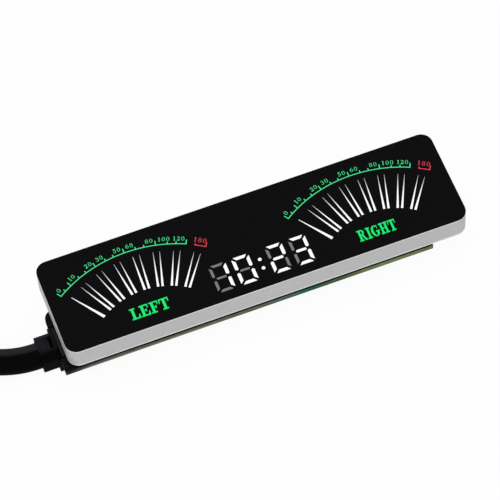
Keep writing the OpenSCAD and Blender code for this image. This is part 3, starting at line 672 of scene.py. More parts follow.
class METER_OT_straps(bpy.types.Operator):
    """Closes two woven straps round the coil of the lead, each with its end laid back over it"""
    bl_idname = "meter.straps"
    bl_label = "Straps"

    def execute(self, context):
        straps = copy_of("lead_ties", "coil_straps")
        coil_y = sum(c.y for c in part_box("lead_coil")) / 2
        for low, high in map(span, solids_of("lead_ties")):
            centre = (low + high) / 2
            outside = 1 if centre.y > coil_y else -1

            def closing_side(f):
                at = f.calc_center_median()
                return (low.x <= at.x <= high.x and low.y <= at.y <= high.y
                        and min(f.normal.z, f.normal.y * outside) > STRAP_LEAN
                        and f.calc_area() > STRAP_SIDE and (at - centre).dot(f.normal) > 0)

            edit(straps)
            select(straps, "FACE", closing_side)
            shape = bmesh.from_edit_mesh(straps.data)
            outward = [f.normal.copy() for f in shape.faces if f.select]
            if not outward:
                raise RuntimeError("no side of the strap can take its closed end")
            bpy.ops.mesh.inset(thickness=STRAP_RIM)
            draw_out(tuple(outward[0] * sizes().strap_tail))
        round_edges(straps, STRAP_EDGE, steeper(45))
        smooth(straps)
        finish_piece(straps, "coil_straps", self.webbing(), ["lead_ties"], body="lead")
        return {"FINISHED"}

    def webbing(self):
        # Woven nylon with a looped face: black, without gloss, its threads about 0.6 mm apart, coarser than real
        # ones so that they show
        made, tree = new_material("Woven strap", Roughness=0.85, Specular_IOR_Level=0.2, Sheen_Weight=0.3)
        at = place(tree)
        warp, weft = (threads(tree, at, 0.6, way, Distortion=0.6) for way in ("X", "DIAGONAL"))
        cloth = calc(tree, "MULTIPLY", warp, weft)
        feed(tree,
             Base_Color=blend(tree, cloth, tinted(colours().strap, 0.5), tinted(colours().strap, 1.6)),
             Normal=bump(tree, cloth, 0.08))
        return made


class METER_OT_lead(bpy.types.Operator):
    """Lays the round lead from the plug's back to its far plug"""
    bl_idname = "meter.lead"
    bl_label = "Lead"

    def execute(self, context):
        points = lead_points()
        data = bpy.data.curves.new("lead", "CURVE")
        data.dimensions = "3D"
        data.bevel_depth = sizes().lead_d / 2
        data.bevel_resolution = 8
        data.resolution_u = 8
        data.use_fill_caps = True
        spline = data.splines.new("BEZIER")
        spline.bezier_points.add(len(points) - 1)
        for knot, p in zip(spline.bezier_points, points):
            knot.co = p
            knot.handle_left_type = knot.handle_right_type = "AUTO"
        # Extruded vinyl jacket: deep black, with a painted grey highlight along the top and faint flow marks
        jacket = highlit_vinyl("Vinyl jacket", 0.5)
        lead = finish_piece(new_object("lead", data), "lead", jacket, ["lead_cable", "lead_coil"],
                            body="lead")
        on_it = [NODES[n] for n in ("far_insert", "far_contacts", "plug_insert", "plug_contacts")]
        on_it += [bpy.data.objects[n] for n in ("lead_plug_rounded", "far_plug_rounded", "coil_straps")]
        return {"FINISHED"}


# The lamps: name, place, what each looks at, width and power
LAMPS = (("overhead", (0.05, 0.25, 1.3), (0, 0, 0), 1.5, 8),
         ("front", (-0.35, -1.3, 0.55), (0, 0, 0.01), 1.2, 8),
         ("left", (-1.3, -0.1, 0.6), (0, 0, 0.01), 1.0, 3.5))
FLOOR_SIZE, PAPER_GLOW = 6, 0.95
# The world's strength as light and as it is seen
WORLD_LIGHT, WORLD_SEEN = 0.5, 1.0


class METER_OT_stage(bpy.types.Operator):
    """Sets the white ground, the soft lamps and the world round the module"""
    bl_idname = "meter.stage"
    bl_label = "Stage"

    def execute(self, context):
        clear_selection()
        bpy.ops.mesh.primitive_plane_add(size=FLOOR_SIZE)
        floor = context.object
        floor.name = "floor"
        floor.data.materials.append(self.paper())
        self.world(context)
        for lamp in LAMPS:
            self.lamp(*lamp)
        context.scene.view_settings.view_transform = "Standard"
        return {"FINISHED"}

    def paper(self):
        # Seamless white paper, seen as white and still holding a pale shadow
        made, tree = new_material("White paper", Roughness=0.9, Specular_IOR_Level=0.1, Base_Color=srgb("#f2f2f2"))
        path = add_node(tree, "ShaderNodeLightPath").outputs
        seen = calc(tree, "MAXIMUM", path["Is Camera Ray"], path["Is Glossy Ray"])
        seen = calc(tree, "MAXIMUM", seen, path["Is Transmission Ray"])
        glow = add_node(tree, "ShaderNodeEmission", {"Color": (1, 1, 1, 1), "Strength": 1.0})
        mixed = add_node(tree, "ShaderNodeMixShader", {
            0: calc(tree, "MULTIPLY", seen, PAPER_GLOW), 1: tree.nodes["Principled BSDF"].outputs[0],
            2: glow.outputs[0]})
        tree.links.new(mixed.outputs[0], tree.nodes["Material Output"].inputs["Surface"])
        return made

    def world(self, context):
        world = bpy.data.worlds.new("Studio")
        context.scene.world = world
        world.use_nodes = True
        tree = world.node_tree
        path = add_node(tree, "ShaderNodeLightPath")
        back = tree.nodes["Background"]
        back.inputs["Color"].default_value = (1, 1, 1, 1)
        strength = remap(tree, path.outputs["Is Camera Ray"], low=WORLD_LIGHT, high=WORLD_SEEN)
        tree.links.new(strength, back.inputs["Strength"])

    def lamp(self, name, at, towards, size, power):
        bpy.ops.object.light_add(type="AREA", location=at)
        lamp = bpy.context.object
        lamp.name = name
        lamp.data.energy = power
        lamp.data.size = size
        lamp.rotation_euler = (Vector(towards) - Vector(at)).to_track_quat("-Z", "Y").to_euler()


# The housing: its corners, the foot below its lower edge, how near its rims an edge is, the painted highlight bands
# over the foot and under the brim, how softly they end and how bright they are, and the pips on its front wall
CORNER_R, FOOT = 3.1 * MM, 0.6 * MM
RIM_LEVEL, RIM_REACH, RIM_ANGLE = 0.01 * MM, 0.03 * MM, 0.5
FOOT_BAND, BRIM_BAND, BAND_FADE, BAND_SHARE = 0.75 * MM, 0.45 * MM, 0.15 * MM, 0.65
PIPS_MM, PIP_DOWN = (-39.25, 14.75, 40.75), 1.9 * MM


def outer_rim_edge(low, high, z):
    """A test for edges at height z that run round the outside of a rounded block."""
    centre, half = (low + high) / 2, (high - low) / 2

    def wanted(e):
        for v in e.verts:
            if abs(v.co.z - z) > RIM_LEVEL:
                return False
            dx, dy = (max(abs(v.co[i] - centre[i]) - (half[i] - CORNER_R), 0) for i in (0, 1))
            if abs(math.hypot(dx, dy) - CORNER_R) > RIM_REACH:
                return False
        return e.calc_face_angle(0) > RIM_ANGLE
    return wanted


class METER_OT_housing(bpy.types.Operator):
    """Moulds the housing with softened edges and the marks that its mould leaves on the wall"""
    bl_idname = "meter.housing"
    bl_label = "Housing"

    def execute(self, context):
        housing = copy_of("display_housing", "housing_moulding")
        low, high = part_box("display_housing")
        for z, edge in ((high.z, sizes().face_edge), (low.z + FOOT, sizes().housing_edge)):
            round_edges(housing, edge, outer_rim_edge(low, high, z), segments=3)
        smooth(housing)
        # Moulded ABS with a fine spark-eroded grain: neutral grey, satin, with painted highlights along its edges
        abs_grey = grained("Moulded ABS", colours().wall, 0.46, 0.22, 0.006, vary=0.03, spread=0.06,
                           Specular_IOR_Level=0.4)
        self.paint_edge_highlights(abs_grey.node_tree, low.z + FOOT + FOOT_BAND, high.z - BRIM_BAND)
        finish_piece(housing, "housing_moulding", abs_grey, ["display_housing"])
        pip = turned([(0.42, -0.06), (0.42, 0.02), (0.39, 0.05), (0.3, 0.06)], sides=20)
        pips = scatter(pip, [(x * MM, low.y, high.z - PIP_DOWN) for x in PIPS_MM], (math.pi / 2, 0, 0))
        smooth(finish_piece(pips, "wall_pips", abs_grey))
        return {"FINISHED"}

    def paint_edge_highlights(self, tree, foot, brim):
        """Paints highlights on the rounded edges between wall and face, and on the wall below and above two heights.
        """
        plain = tree.nodes["Principled BSDF"].inputs["Base Color"].links[0].from_socket
        slope = calc(tree, "ABSOLUTE", upward(tree))
        edge_highlight = calc(tree, "MULTIPLY", remap(tree, slope, 0.15, 0.5), remap(tree, slope, 0.99, 0.9))
        z = along(tree, place(tree), "Z")
        for start, end in ((foot, foot - BAND_FADE), (brim, brim + BAND_FADE)):
            edge_highlight = calc(tree, "MAXIMUM", edge_highlight, remap(tree, z, start, end, high=BAND_SHARE))
        feed(tree, Base_Color=blend(tree, edge_highlight, plain, colours().edge))


# The left arm of a peak mark, and the black that covers part of it
PEAK_ARM = math.radians(29.5)
MASK_R, MASK_SIZE = SCALE_R + (1.2 - 0.4) * MM, (0.5 * MM, 0.9 * MM, 1)


class METER_OT_film(bpy.types.Operator):
    """Finishes the printed film on the face"""
    bl_idname = "meter.film"
    bl_label = "Front film"

    def execute(self, context):
        # Polyester film printed black on its back: even, dull and nearly without reflection
        black = grained("Printed polyester film", colours().film, 0.5, 0.6, 0.002, vary=0.06, Specular_IOR_Level=0.03)
        dress(black, "front_film")
        # The same black covers the upper part of each peak mark's left arm, where the first numeral stands
        pattern = plate(sizes().ink / 2, draw_in=0.05)
        out, up = MASK_R * math.sin(PEAK_ARM), MASK_R * math.cos(PEAK_ARM)
        masks = [stamp(pattern, (x + out, DIAL_Y + up, FACE_TOP), (0, 0, -PEAK_ARM), MASK_SIZE)
                 for x in DIALS.values()]
        discard(pattern)
        finish_piece(masks, "peak_masks", black)
        return {"FINISHED"}


# The pointers: how near a point is to a tip to belong to it, where along them the light fades, and the sine of the
# angle from which they come in pairs
TIP_REACH = 0.02 * MM
POINTER_FADE = (24.5 * MM, 29.6 * MM)
PAIRED_FROM = -0.53


class METER_OT_dials(bpy.types.Operator):
    """Lights the pointers, the scales and the peak marks of both dials"""
    bl_idname = "meter.dials"
    bl_label = "Dials"

    def execute(self, context):
        # Clear resin over green and red light, a little cloudy
        dress(lit("Lit green resin", colours().green), "left_scale_light", "right_scale_light")
        dress(lit("Lit red resin", colours().red), "left_peak_light", "right_peak_light")
        for side, x in DIALS.items():
            self.pointers(side, x)
        return {"FINISHED"}

    def pointers(self, side, dial_x):
        """Draws the tips of the paired pointers in, so that they end nearly in points."""
        node = side + "_pointer_lights"
        made = copy_of(node, side + "_pointers_drawn")
        centre = Vector((dial_x, POINTER_Y))
        edit(made)
        for points in solids_of(node)[1:]:
            far = max((p.xy - centre).length for p in points)
            tip = middle([p for p in points if (p.xy - centre).length > far - TIP_REACH])
            select(made, "FACE", lambda f: (f.calc_center_median().xy - tip.xy).length < TIP_REACH)
            bpy.ops.transform.resize(value=(sizes().tip_share, sizes().tip_share, 1), center_override=tip)
        set_mode("OBJECT")
        resin = self.pointer_resin(side.capitalize() + " pointer resin", dial_x)
        finish_piece(made, made.name, resin, [node])

    def pointer_resin(self, name, dial_x):
        # Milky resin lit near the pointers' broad ends: white there, cooler and weaker towards the tips of the pairs;
        # the light leaves through the top only
        made, tree = light_material(name, colours().white)
        at = place(tree)
        flat = vector(tree, "MULTIPLY", 0, at, (1, 1, 0))
        out = vector(tree, "DISTANCE", "Value", flat, (dial_x, POINTER_Y, 0))
        sine = calc(tree, "DIVIDE", calc(tree, "SUBTRACT", along(tree, at, "X"), dial_x), out)
        fade = calc(tree, "MULTIPLY", remap(tree, out, *POINTER_FADE, interpolation_type="SMOOTHSTEP"),
                    calc(tree, "GREATER_THAN", sine, PAIRED_FROM))
        tone = blend(tree, fade, colours().white, colours().faint)
        top = calc(tree, "GREATER_THAN", upward(tree), 0.5)
        feed(tree, Emission_Color=blend(tree, top, srgb("#101012"), tone))
        return made


# The segments that are lit in each digit, a at the top and then clockwise to f, with g in the middle
CLOCK = {"hour_tens_segments": "bc", "hour_units_segments": "abcdef", "minute_tens_segments": "abged",
         "minute_units_segments": "abgcd"}
# In millimetres, how near g is to the middle of its digit, and how much higher than wide a and d lie
MIDDLE_REACH, END_REACH = 1.77, 1.825
UNLIT_SHRINK = 0.045 * MM


class METER_OT_clock(bpy.types.Operator):
    """Parts the clock's segments into those that are lit and those that are off"""
    bl_idname = "meter.clock"
    bl_label = "Clock"

    def execute(self, context):
        on, off = [], []
        for node, shown in CLOCK.items():
            edit(copy_of(node, node + "_parts"))
            bpy.ops.mesh.separate(type="LOOSE")
            set_mode("OBJECT")
            low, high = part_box(node)
            for part in list(context.selected_objects):
                at = middle([v.co for v in part.data.vertices]) - (low + high) / 2
                (on if self.segment(at.x / MM, at.y / MM) in shown else off).append(part)
        # Milky resin, lit from behind
        white = lit("Lit white resin", colours().white, dim=0.97)
        finish_piece(on, "lit_segments", white, CLOCK)
        # The same milky resin with its light off: a cloudy grey in the film's windows
        grey = grained("Unlit milky resin", colours().unlit, 0.45, 0.5, 0.004, vary=0.14, Specular_IOR_Level=0.1)
        unlit = join(off, "unlit_segments")
        edit(unlit)
        # They fill their windows a little less than the lit ones, whose light spreads
        bpy.ops.transform.shrink_fatten(value=-UNLIT_SHRINK, use_even_offset=True)
        set_mode("OBJECT")
        finish_piece(unlit, "unlit_segments", grey)
        dress(white, "colon_lights")
        return {"FINISHED"}

    def segment(self, x, y):
        if abs(x) + abs(y) < MIDDLE_REACH:
            return "g"
        if abs(y) - abs(x) > END_REACH:
            return "a" if y > 0 else "d"
        return ("b" if y > 0 else "c") if x > 0 else ("f" if y > 0 else "e")


def bar(x0, y0, x1, y1):
    return [[(x0, y0), (x1, y0), (x1, y1), (x0, y1)]]


def bow(x, y, rx, ry, broad, thin, a0=0, a1=360):
    """Outlines of a stroke along an oval, broad at its sides and thin at its top and bottom."""
    n = max(int((a1 - a0) / 15), 3)
    turn = [math.radians(a0 + (a1 - a0) * i / n) for i in range(n + 1)]
    outer = [(x + rx * math.cos(a), y + ry * math.sin(a)) for a in turn]
    inner = [(x + (rx - broad) * math.cos(a), y + (ry - thin) * math.sin(a)) for a in turn]
    return [outer[:-1], inner[:-1]] if a1 - a0 >= 360 else [outer + inner[::-1]]


SERIF = 0.11


def stem(x=0.1):
    return bar(x + 0.02, SERIF, x + 0.25, 1 - SERIF)


def top_bar(x0, x1):
    return bar(x0, 1 - SERIF, x1, 1)


def foot_bar(x0, x1):
    return bar(x0, 0, x1, SERIF)


# What E and F share: the upper bar with its beak, and the tongue
ARM = [top_bar(0, 0.62), bar(0.37, 0.45, 0.5, 0.55), bar(0.5, 0.36, 0.57, 0.64),
       [[(0.62, 1), (0.62, 0.89), (0.68, 0.66), (0.74, 0.66), (0.74, 1)]]]

# Printed characters on a height of one: the width, and the strokes of a bold face with feet
CHARACTERS = {
    "0": (0.66, [bow(0.33, 0.5, 0.33, 0.5, 0.13, 0.05)]),
    "1": (0.52, [bar(0.19, 0.06, 0.34, 1), bar(0.05, 0, 0.48, 0.06),
                 [[(0.04, 0.84), (0.19, 0.88), (0.19, 1), (0.04, 0.91)]]]),
    "2": (0.62, [bow(0.3, 0.7, 0.29, 0.3, 0.14, 0.06, -38, 172), bar(0.02, 0, 0.54, 0.13),
                 [[(0.42, 0.56), (0.53, 0.515), (0.18, 0.13), (0.02, 0.13)]],
                 [[(0.46, 0.13), (0.54, 0), (0.58, 0), (0.63, 0.26), (0.58, 0.26)]]]),
    "3": (0.6, [bow(0.27, 0.745, 0.27, 0.255, 0.13, 0.05, -85, 165),
                bow(0.26, 0.275, 0.32, 0.275, 0.14, 0.05, -165, 85), bar(0.19, 0.48, 0.31, 0.56)]),
    "5": (0.6, [bow(0.24, 0.32, 0.34, 0.32, 0.14, 0.06, -160, 115),
                [[(0.1, 0.5), (0.17, 0.575), (0.19, 0.83), (0.54, 0.83), (0.585, 1), (0.13, 1)]]]),
    "6": (0.64, [bow(0.32, 0.31, 0.32, 0.31, 0.13, 0.05), bow(0.62, 0.36, 0.62, 0.64, 0.14, 0.06, 97, 183)]),
    "8": (0.64, [bow(0.32, 0.745, 0.27, 0.255, 0.11, 0.045), bow(0.32, 0.265, 0.32, 0.265, 0.13, 0.045)]),
    "E": (0.8, [stem(), *ARM, foot_bar(0, 0.64), [[(0.64, 0), (0.8, 0), (0.8, 0.36), (0.74, 0.36), (0.64, 0.11)]]]),
    "F": (0.76, [stem(), *ARM, foot_bar(0, 0.5)]),
    "G": (0.93, [bow(0.45, 0.5, 0.45, 0.5, 0.27, 0.09, 50, 318), bar(0.6, 0.12, 0.84, 0.4),
                 bar(0.5, 0.4, 0.93, 0.5), [[(0.7, 0.66), (0.78, 0.66), (0.78, 1), (0.73, 1)]]]),
    "H": (0.94, [stem(0.09), stem(0.58), top_bar(0, 0.44), foot_bar(0, 0.44), top_bar(0.5, 0.94), foot_bar(0.5, 0.94),
                 bar(0.36, 0.45, 0.58, 0.55)]),
    "I": (0.47, [stem(), top_bar(0, 0.47), foot_bar(0, 0.47)]),
    "L": (0.76, [stem(), top_bar(0, 0.47), foot_bar(0, 0.6),
                 [[(0.6, 0), (0.76, 0), (0.76, 0.38), (0.7, 0.38), (0.6, 0.11)]]]),
    "R": (0.93, [stem(), top_bar(0, 0.42), foot_bar(0, 0.47), bar(0.37, 0.49, 0.42, 0.59),
                 bow(0.42, 0.745, 0.34, 0.255, 0.2, 0.1, -90, 90),
                 [[(0.4, 0.49), (0.62, 0.51), (0.8, 0.11), (0.93, 0.11), (0.93, 0), (0.66, 0)]]]),
    "T": (0.84, [stem(0.285), top_bar(0.12, 0.72), foot_bar(0.17, 0.67),
                 [[(0.12, 1), (0, 1), (0, 0.62), (0.06, 0.62), (0.12, 0.89)]],
                 [[(0.72, 1), (0.84, 1), (0.84, 0.62), (0.78, 0.62), (0.72, 0.89)]]]),
}


def character(sign):
    """One printed character on a height of one, made once and kept to be stamped."""
    name = "sign_" + sign
    if name in bpy.data.objects:
        return bpy.data.objects[name]
    strokes = [tidy_mesh(drawn_lines("print", outlines, True, dimensions="2D", fill_mode="BOTH", extrude=0.5))
               for outlines in CHARACTERS[sign][1]]
    return join(strokes, name)


def printed(words, height, gap, width=None):
    """Stamps characters in a row about the origin, at a height and, where one is given, a width."""
    total = sum(CHARACTERS[c][0] for c in words) + gap * (len(words) - 1)
    across = width / total if width else height
    x = -total / 2
    row = []
    for c in words:
        row.append(stamp(character(c), (x * across, -height / 2, 0), size=(across, height, sizes().ink)))
        x += CHARACTERS[c][0] + gap
    return join(row, "print")


# The numerals and their angles in degrees from a dial's middle
NUMERALS = [("0", 33.05), ("10", 25.4), ("20", 16.7), ("30", 11.3), ("50", 3.4), ("60", -2), ("80", -10.2),
            ("100", -16.3), ("120", -22.45)]
PEAK_NUMERALS, PEAK_SCALE = [("180", -31.25)], 1.1
WORD_GAP, NUMERAL_GAP = 0.08, 0.3
INK_DIM = 0.94


class METER_OT_numerals(bpy.types.Operator):
    """Prints the numerals along both scales and a word for the channel under each"""
    bl_idname = "meter.numerals"
    bl_label = "Numerals and words"

    def execute(self, context):
        # Clear green and red ink lit from behind
        green = lit("Lit green ink", colours().green, dim=INK_DIM)
        finish_piece(self.row(NUMERALS), "scale_numerals", green)
        red = lit("Lit red ink", colours().red, dim=INK_DIM)
        finish_piece(self.row(PEAK_NUMERALS, PEAK_SCALE), "peak_numerals", red)
        words = []
        for side, x in DIALS.items():
            word = printed(side.upper(), sizes().word_h, WORD_GAP, sizes().word_w)
            word.location = (x, FACE_FRONT + sizes().word_y, FACE_TOP + sizes().ink / 2)
            words.append(word)
        bright = lit("Lit bright green ink", colours().word, dim=INK_DIM)
        finish_piece(words, "channel_words", bright)
        discard(*[o for o in bpy.data.objects if o.name.startswith("sign_")])
        return {"FINISHED"}

    def row(self, numerals, scale=1):
        made = []
        r = sizes().numeral_r
        for x in DIALS.values():
            for words, angle in numerals:
                a = math.radians(angle)
                text = printed(words, scale * sizes().numeral_h, NUMERAL_GAP)
                text.location = (x - r * math.sin(a), DIAL_Y + r * math.cos(a), FACE_TOP + sizes().ink / 2)
                text.rotation_euler = (0, 0, a)
                made.append(text)
        return made


# The tones of the board's sawn edge, from its left end to its right one; the dark tones at the left end are painted
# shade
EDGE_TONES = [(0.0, "#1b1c19"), (0.1, "#50514c"), (0.5, "#62634f"), (0.59, "#56635a"), (0.66, "#1f5f44"),
              (0.73, "#4a5a42"), (0.86, "#6d7f58"), (1.0, "#6a6c4f")]
# How much clouds shift the tones, and the height of the pale band of painted light along the lower arris
MOTTLE, PAINTED_LIGHT_H = 0.12, 0.9 * MM
# The tracks: how flat they are rolled, how far their corners are cut, how far from the chips' feet the first one of a
# run lies, the step to the next and the number of steps
TRACK_RELIEF, CORNER_CUT = 0.16, 0.3 * MM
TRACK_START, TRACK_STEP, TRACK_LEVELS = 1.1 * MM, 0.13 * MM, 9
# In millimetres, how far the holes are from the display's front pins, by turns, and from the small parts
PIN_HOLES, PART_HOLE = (2.1, 1.5), 1.9


class METER_OT_board(bpy.types.Operator):
    """Lacquers the two boards and lays the main board's copper tracks and plated holes"""
    bl_idname = "meter.board"
    bl_label = "Boards"

    def execute(self, context):
        dress(self.laminate(), "main_board", "led_board")
        tracks, holes = self.routes()
        made = drawn_lines("board_tracks", map(self.cut_corners, tracks), False, dimensions="3D",
                           bevel_depth=sizes().track_w / 2, bevel_resolution=1, use_fill_caps=True)
        # Rolled flat, so that only a low ridge stands out of the board
        made.scale.z = TRACK_RELIEF
        made.location.z = UNDER_BOARD
        # Copper under the lacquer: a shade lighter than the bare board, slightly rippled
        copper = grained("Lacquered copper", colours().track, 0.32, 0.5, 0.004, Specular_IOR_Level=0.4)
        smooth(finish_piece([made], "board_tracks", copper), degrees=60)
        ring = turned([(0.34, -0.03), (0.34, 0.02), (0.3, 0.035), (0.16, 0.035), (0.13, -0.02)], sides=14)
        rings = scatter(ring, [(x, y, UNDER_BOARD) for x, y in holes], FLIPPED)
        smooth(finish_piece(rings, "plated_holes", tin_plate()))
        return {"FINISHED"}

    def laminate(self):
        # Woven glass and epoxy under black-green lacquer: glossy faces through which the cloth, drawn coarser at
        # 0.9 mm, shows faintly, and sawn edges that go from dark brown, painted shade, to green and olive
        made, tree = new_material("Lacquered glass epoxy", Specular_IOR_Level=0.04)
        at = place(tree)
        warp, weft = (threads(tree, at, 0.9, way) for way in "XY")
        cloud = noise(tree, at, 9, 3.0)
        mask = colours().mask
        lacquer = blend(tree, remap(tree, cloud, *NOISE_RANGE), tinted(mask, 0.8), tinted(mask, 1.25))
        facing = calc(tree, "GREATER_THAN", calc(tree, "ABSOLUTE", upward(tree)), 0.5)
        feed(tree,
             Base_Color=blend(tree, facing, self.sawn_edge(tree, at, cloud), lacquer),
             Roughness=remap(tree, facing, low=0.75, high=0.28),
             Normal=bump(tree, calc(tree, "ADD", warp, weft), 0.008))
        return made

    def sawn_edge(self, tree, at, cloud):
        """The colour of the sawn edge, whose tone drifts along the board, with fine lines of glass fibre."""
        share = remap(tree, along(tree, at, "X"), BOARD_LOW.x, BOARD_HIGH.x)
        drift = calc(tree, "ADD", share, calc(tree, "MULTIPLY_ADD", cloud, MOTTLE, -MOTTLE / 2))
        # Its darkest tones, at the board's left end, are painted shade
        ramp = add_node(tree, "ShaderNodeValToRGB", {0: drift})
        for _ in EDGE_TONES[2:]:
            ramp.color_ramp.elements.new(0.5)
        for stop, (where, code) in zip(ramp.color_ramp.elements, EDGE_TONES):
            stop.position, stop.color = where, srgb(code)
        fibre = noise(tree, stretched(tree, at, (0.08, 0.08, 1)), 0.22, 2.0)
        line = remap(tree, fibre, 0.35, 0.65, 0.55, 1.3)
        edge = add_node(tree, "ShaderNodeVectorMath", {0: ramp.outputs["Color"], "Scale": line}, operation="SCALE")
        # A pale band of painted light lies along the lower arris of its left half, but not at the board's end
        left = calc(tree, "MULTIPLY", remap(tree, drift, 0.45, 0.4), remap(tree, share, 0.035, 0.05))
        low = remap(tree, along(tree, at, "Z"), BOARD_LOW.z + PAINTED_LIGHT_H, BOARD_LOW.z, high=0.5)
        return blend(tree, calc(tree, "MULTIPLY", low, left), edge.outputs[0], srgb("#a5a699"))

    def cut_corners(self, track):
        """Turns each square corner of a track into a slanting one."""
        track = [Vector(point) for point in track]
        points = [track[0]]
        for before, corner, after in zip(track, track[1:], track[2:]):
            for arm in (before - corner, after - corner):
                if arm.length > 1e-6:
                    points.append(corner + arm * min(CORNER_CUT / arm.length, 0.5))
        return points + [track[-1]]

    def routes(self):
        """Tracks and plated holes under the board: the display's pins to the chips, and resistors to their drivers."""
        tracks, holes = [], []

        def to_hole(part, mm):
            holes.append((part.x, part.y + mm * MM))
            tracks.append([part.xy, holes[-1]])

        chips = middles("driver_chips", "controller_chip")
        rear, front = [], []
        for foot in middles("driver_leads", "controller_leads"):
            chip = min(chips, key=lambda c: (c - foot).length)
            (rear if foot.y > chip.y else front).append(foot)
        rear.sort(key=lambda f: f.x)
        pins = middles("rear_display_pins")
        ends = [rear[round(i * (len(rear) - 1) / (len(pins) - 1))] for i in range(len(pins))]
        # A track that runs to the right passes under the next one, and one that runs to the left over it
        for to_right, run in groupby(zip(pins, ends), key=lambda pair: pair[1].x > pair[0].x):
            run = list(run)
            for i, (pin, end) in enumerate(run):
                level = i if to_right else len(run) - 1 - i
                y = end.y + TRACK_START + TRACK_STEP * (level % TRACK_LEVELS)
                tracks.append([pin.xy, (pin.x, y), (end.x, y), end.xy])
        for i, pin in enumerate(middles("front_display_pins")):
            to_hole(pin, PIN_HOLES[i % 2])
        for part in middles("chip_resistors"):
            end = min(front, key=lambda f: abs(f.x - part.x))
            y = (part.y + end.y) / 2
            tracks.append([part.xy, (part.x, y), (end.x, y), end.xy])
            to_hole(part, -PART_HOLE)
        for part in middles("chip_capacitors"):
            to_hole(part, -PART_HOLE)
            to_hole(part, PART_HOLE)
        return tracks, holes


# The solder on the feet: how near the board a foot is, how deep the solder starts in the board, and how high it is
FOOT_REACH, PAD_SUNK, PAD_H = 0.3 * MM, 0.02 * MM, 0.09 * MM


class METER_OT_solder(bpy.types.Operator):
    """Solders the display's pins and the feet of the parts under the board"""
    bl_idname = "meter.solder"
    bl_label = "Solder"

    def execute(self, context):
        r = sizes().solder_r / MM
        cone = turned([(r, -0.03), (r * 0.97, 0.03), (r * 0.76, 0.13), (r * 0.58, 0.34), (r * 0.47, 0.66),
                       (r * 0.44, 0.95)], sides=16)
        pins = [(p.x, p.y, UNDER_BOARD) for p in middles("front_display_pins", "rear_display_pins")]
        smooth(finish_piece(scatter(cone, pins, FLIPPED), "pin_solder", solder()), degrees=50)
        pad = plate(1, draw_in=0.16)
        pads = []
        rim = 2 * sizes().pad_rim
        for points in (points for node in FEET for points in solids_of(node)):
            near = [p for p in points if p.z > UNDER_BOARD - FOOT_REACH]
            if near:
                low, high = span(near)
                at = (low + high) / 2
                pads.append(stamp(pad, (at.x, at.y, UNDER_BOARD + PAD_SUNK), FLIPPED,
                                  (high.x - low.x + rim, high.y - low.y + rim, PAD_H)))
        discard(pad)
        finish_piece(pads, "foot_solder", solder())
        return {"FINISHED"}


# The parts that have a white outline and the room in millimetres between the two, and the ink's thickness
OUTLINED = {"controller_chip": 0.5, "driver_chips": 0.5, "clock_chip": 0.4, "switch_bodies": 0.5,
            "capacitor_bases": 0.5, "clock_crystal": 0.5, "regulator": 0.4}
OUTLINE_H = 0.03 * MM


class METER_OT_outlines(bpy.types.Operator):
    """Prints a white outline round each part under the board"""
    bl_idname = "meter.outlines"
    bl_label = "Board outlines"

    def execute(self, context):
        made = [self.outline(*span(points), room * MM) for node, room in OUTLINED.items()
                for points in solids_of(node)]
        # White epoxy ink: flat, a little uneven where it was pressed through the screen
        ink = grained("White board ink", srgb("#dfe0da"), 0.6, 0.3, 0.006, vary=0.06)
        finish_piece(made, "board_outlines", ink)
        return {"FINISHED"}

    def outline(self, low, high, room):
        clear_selection()
        bpy.ops.mesh.primitive_plane_add(size=1)
        made = bpy.context.object
        made.scale = (high.x - low.x + 2 * room, high.y - low.y + 2 * room, 1)
        bpy.ops.object.transform_apply(scale=True)
        edit(made)
        bpy.ops.mesh.inset(thickness=sizes().outline_w)
        bpy.ops.mesh.delete(type="FACE")
        bpy.ops.mesh.select_all(action="SELECT")
        draw_out((0, 0, OUTLINE_H))
        tidy_mesh(made)
        made.location = ((low.x + high.x) / 2, (low.y + high.y) / 2, UNDER_BOARD - OUTLINE_H / 2)
        return made


class METER_OT_chips(bpy.types.Operator):
    """Finishes the chips, the regulator and the small parts round them"""
    bl_idname = "meter.chips"
    bl_label = "Chips"

    def execute(self, context):
        # Moulded epoxy with a sand-blasted mould's dull grain
        epoxy = grained("Moulded epoxy", srgb("#242528"), 0.62, 0.12, 0.008, Specular_IOR_Level=0.4)
        for node in ("controller_chip", "driver_chips", "clock_chip", "regulator"):
            rounded(node, sizes().chip_edge, epoxy)
        dress(tin_plate(), "front_display_pins", "rear_display_pins", *FEET)
        # Drawn nickel-silver can: bright, with faint lines along it
        drawn = grained("Drawn nickel silver", srgb("#bfc0bf"), 0.28, 0.25, 0.003, stretch=(0.15, 1, 1), Metallic=1.0)
        rounded("clock_crystal", sizes().chip_edge, drawn)
        # Resistor under a dark glass glaze, and a fired ceramic block
        dress(grained("Dark glass glaze", srgb("#1f2023"), 0.3, 0.3, 0.004), "chip_resistors")
        dress(grained("Fired ceramic", srgb("#b08a5c"), 0.5, 0.2, 0.004), "chip_capacitors")
        # Light chips: clear resin over a coloured die
        for tint, code in (("White", "#fff3c4"), ("Green", "#9be8b0"), ("Red", "#e89a9a")):
            dress(lit(tint + " light chip", srgb(code), dim=0.6), tint.lower() + "_led_chips")
        return {"FINISHED"}


# The share of half the cans' width that the mark on their ends takes up
MARK_SHARE = 0.62


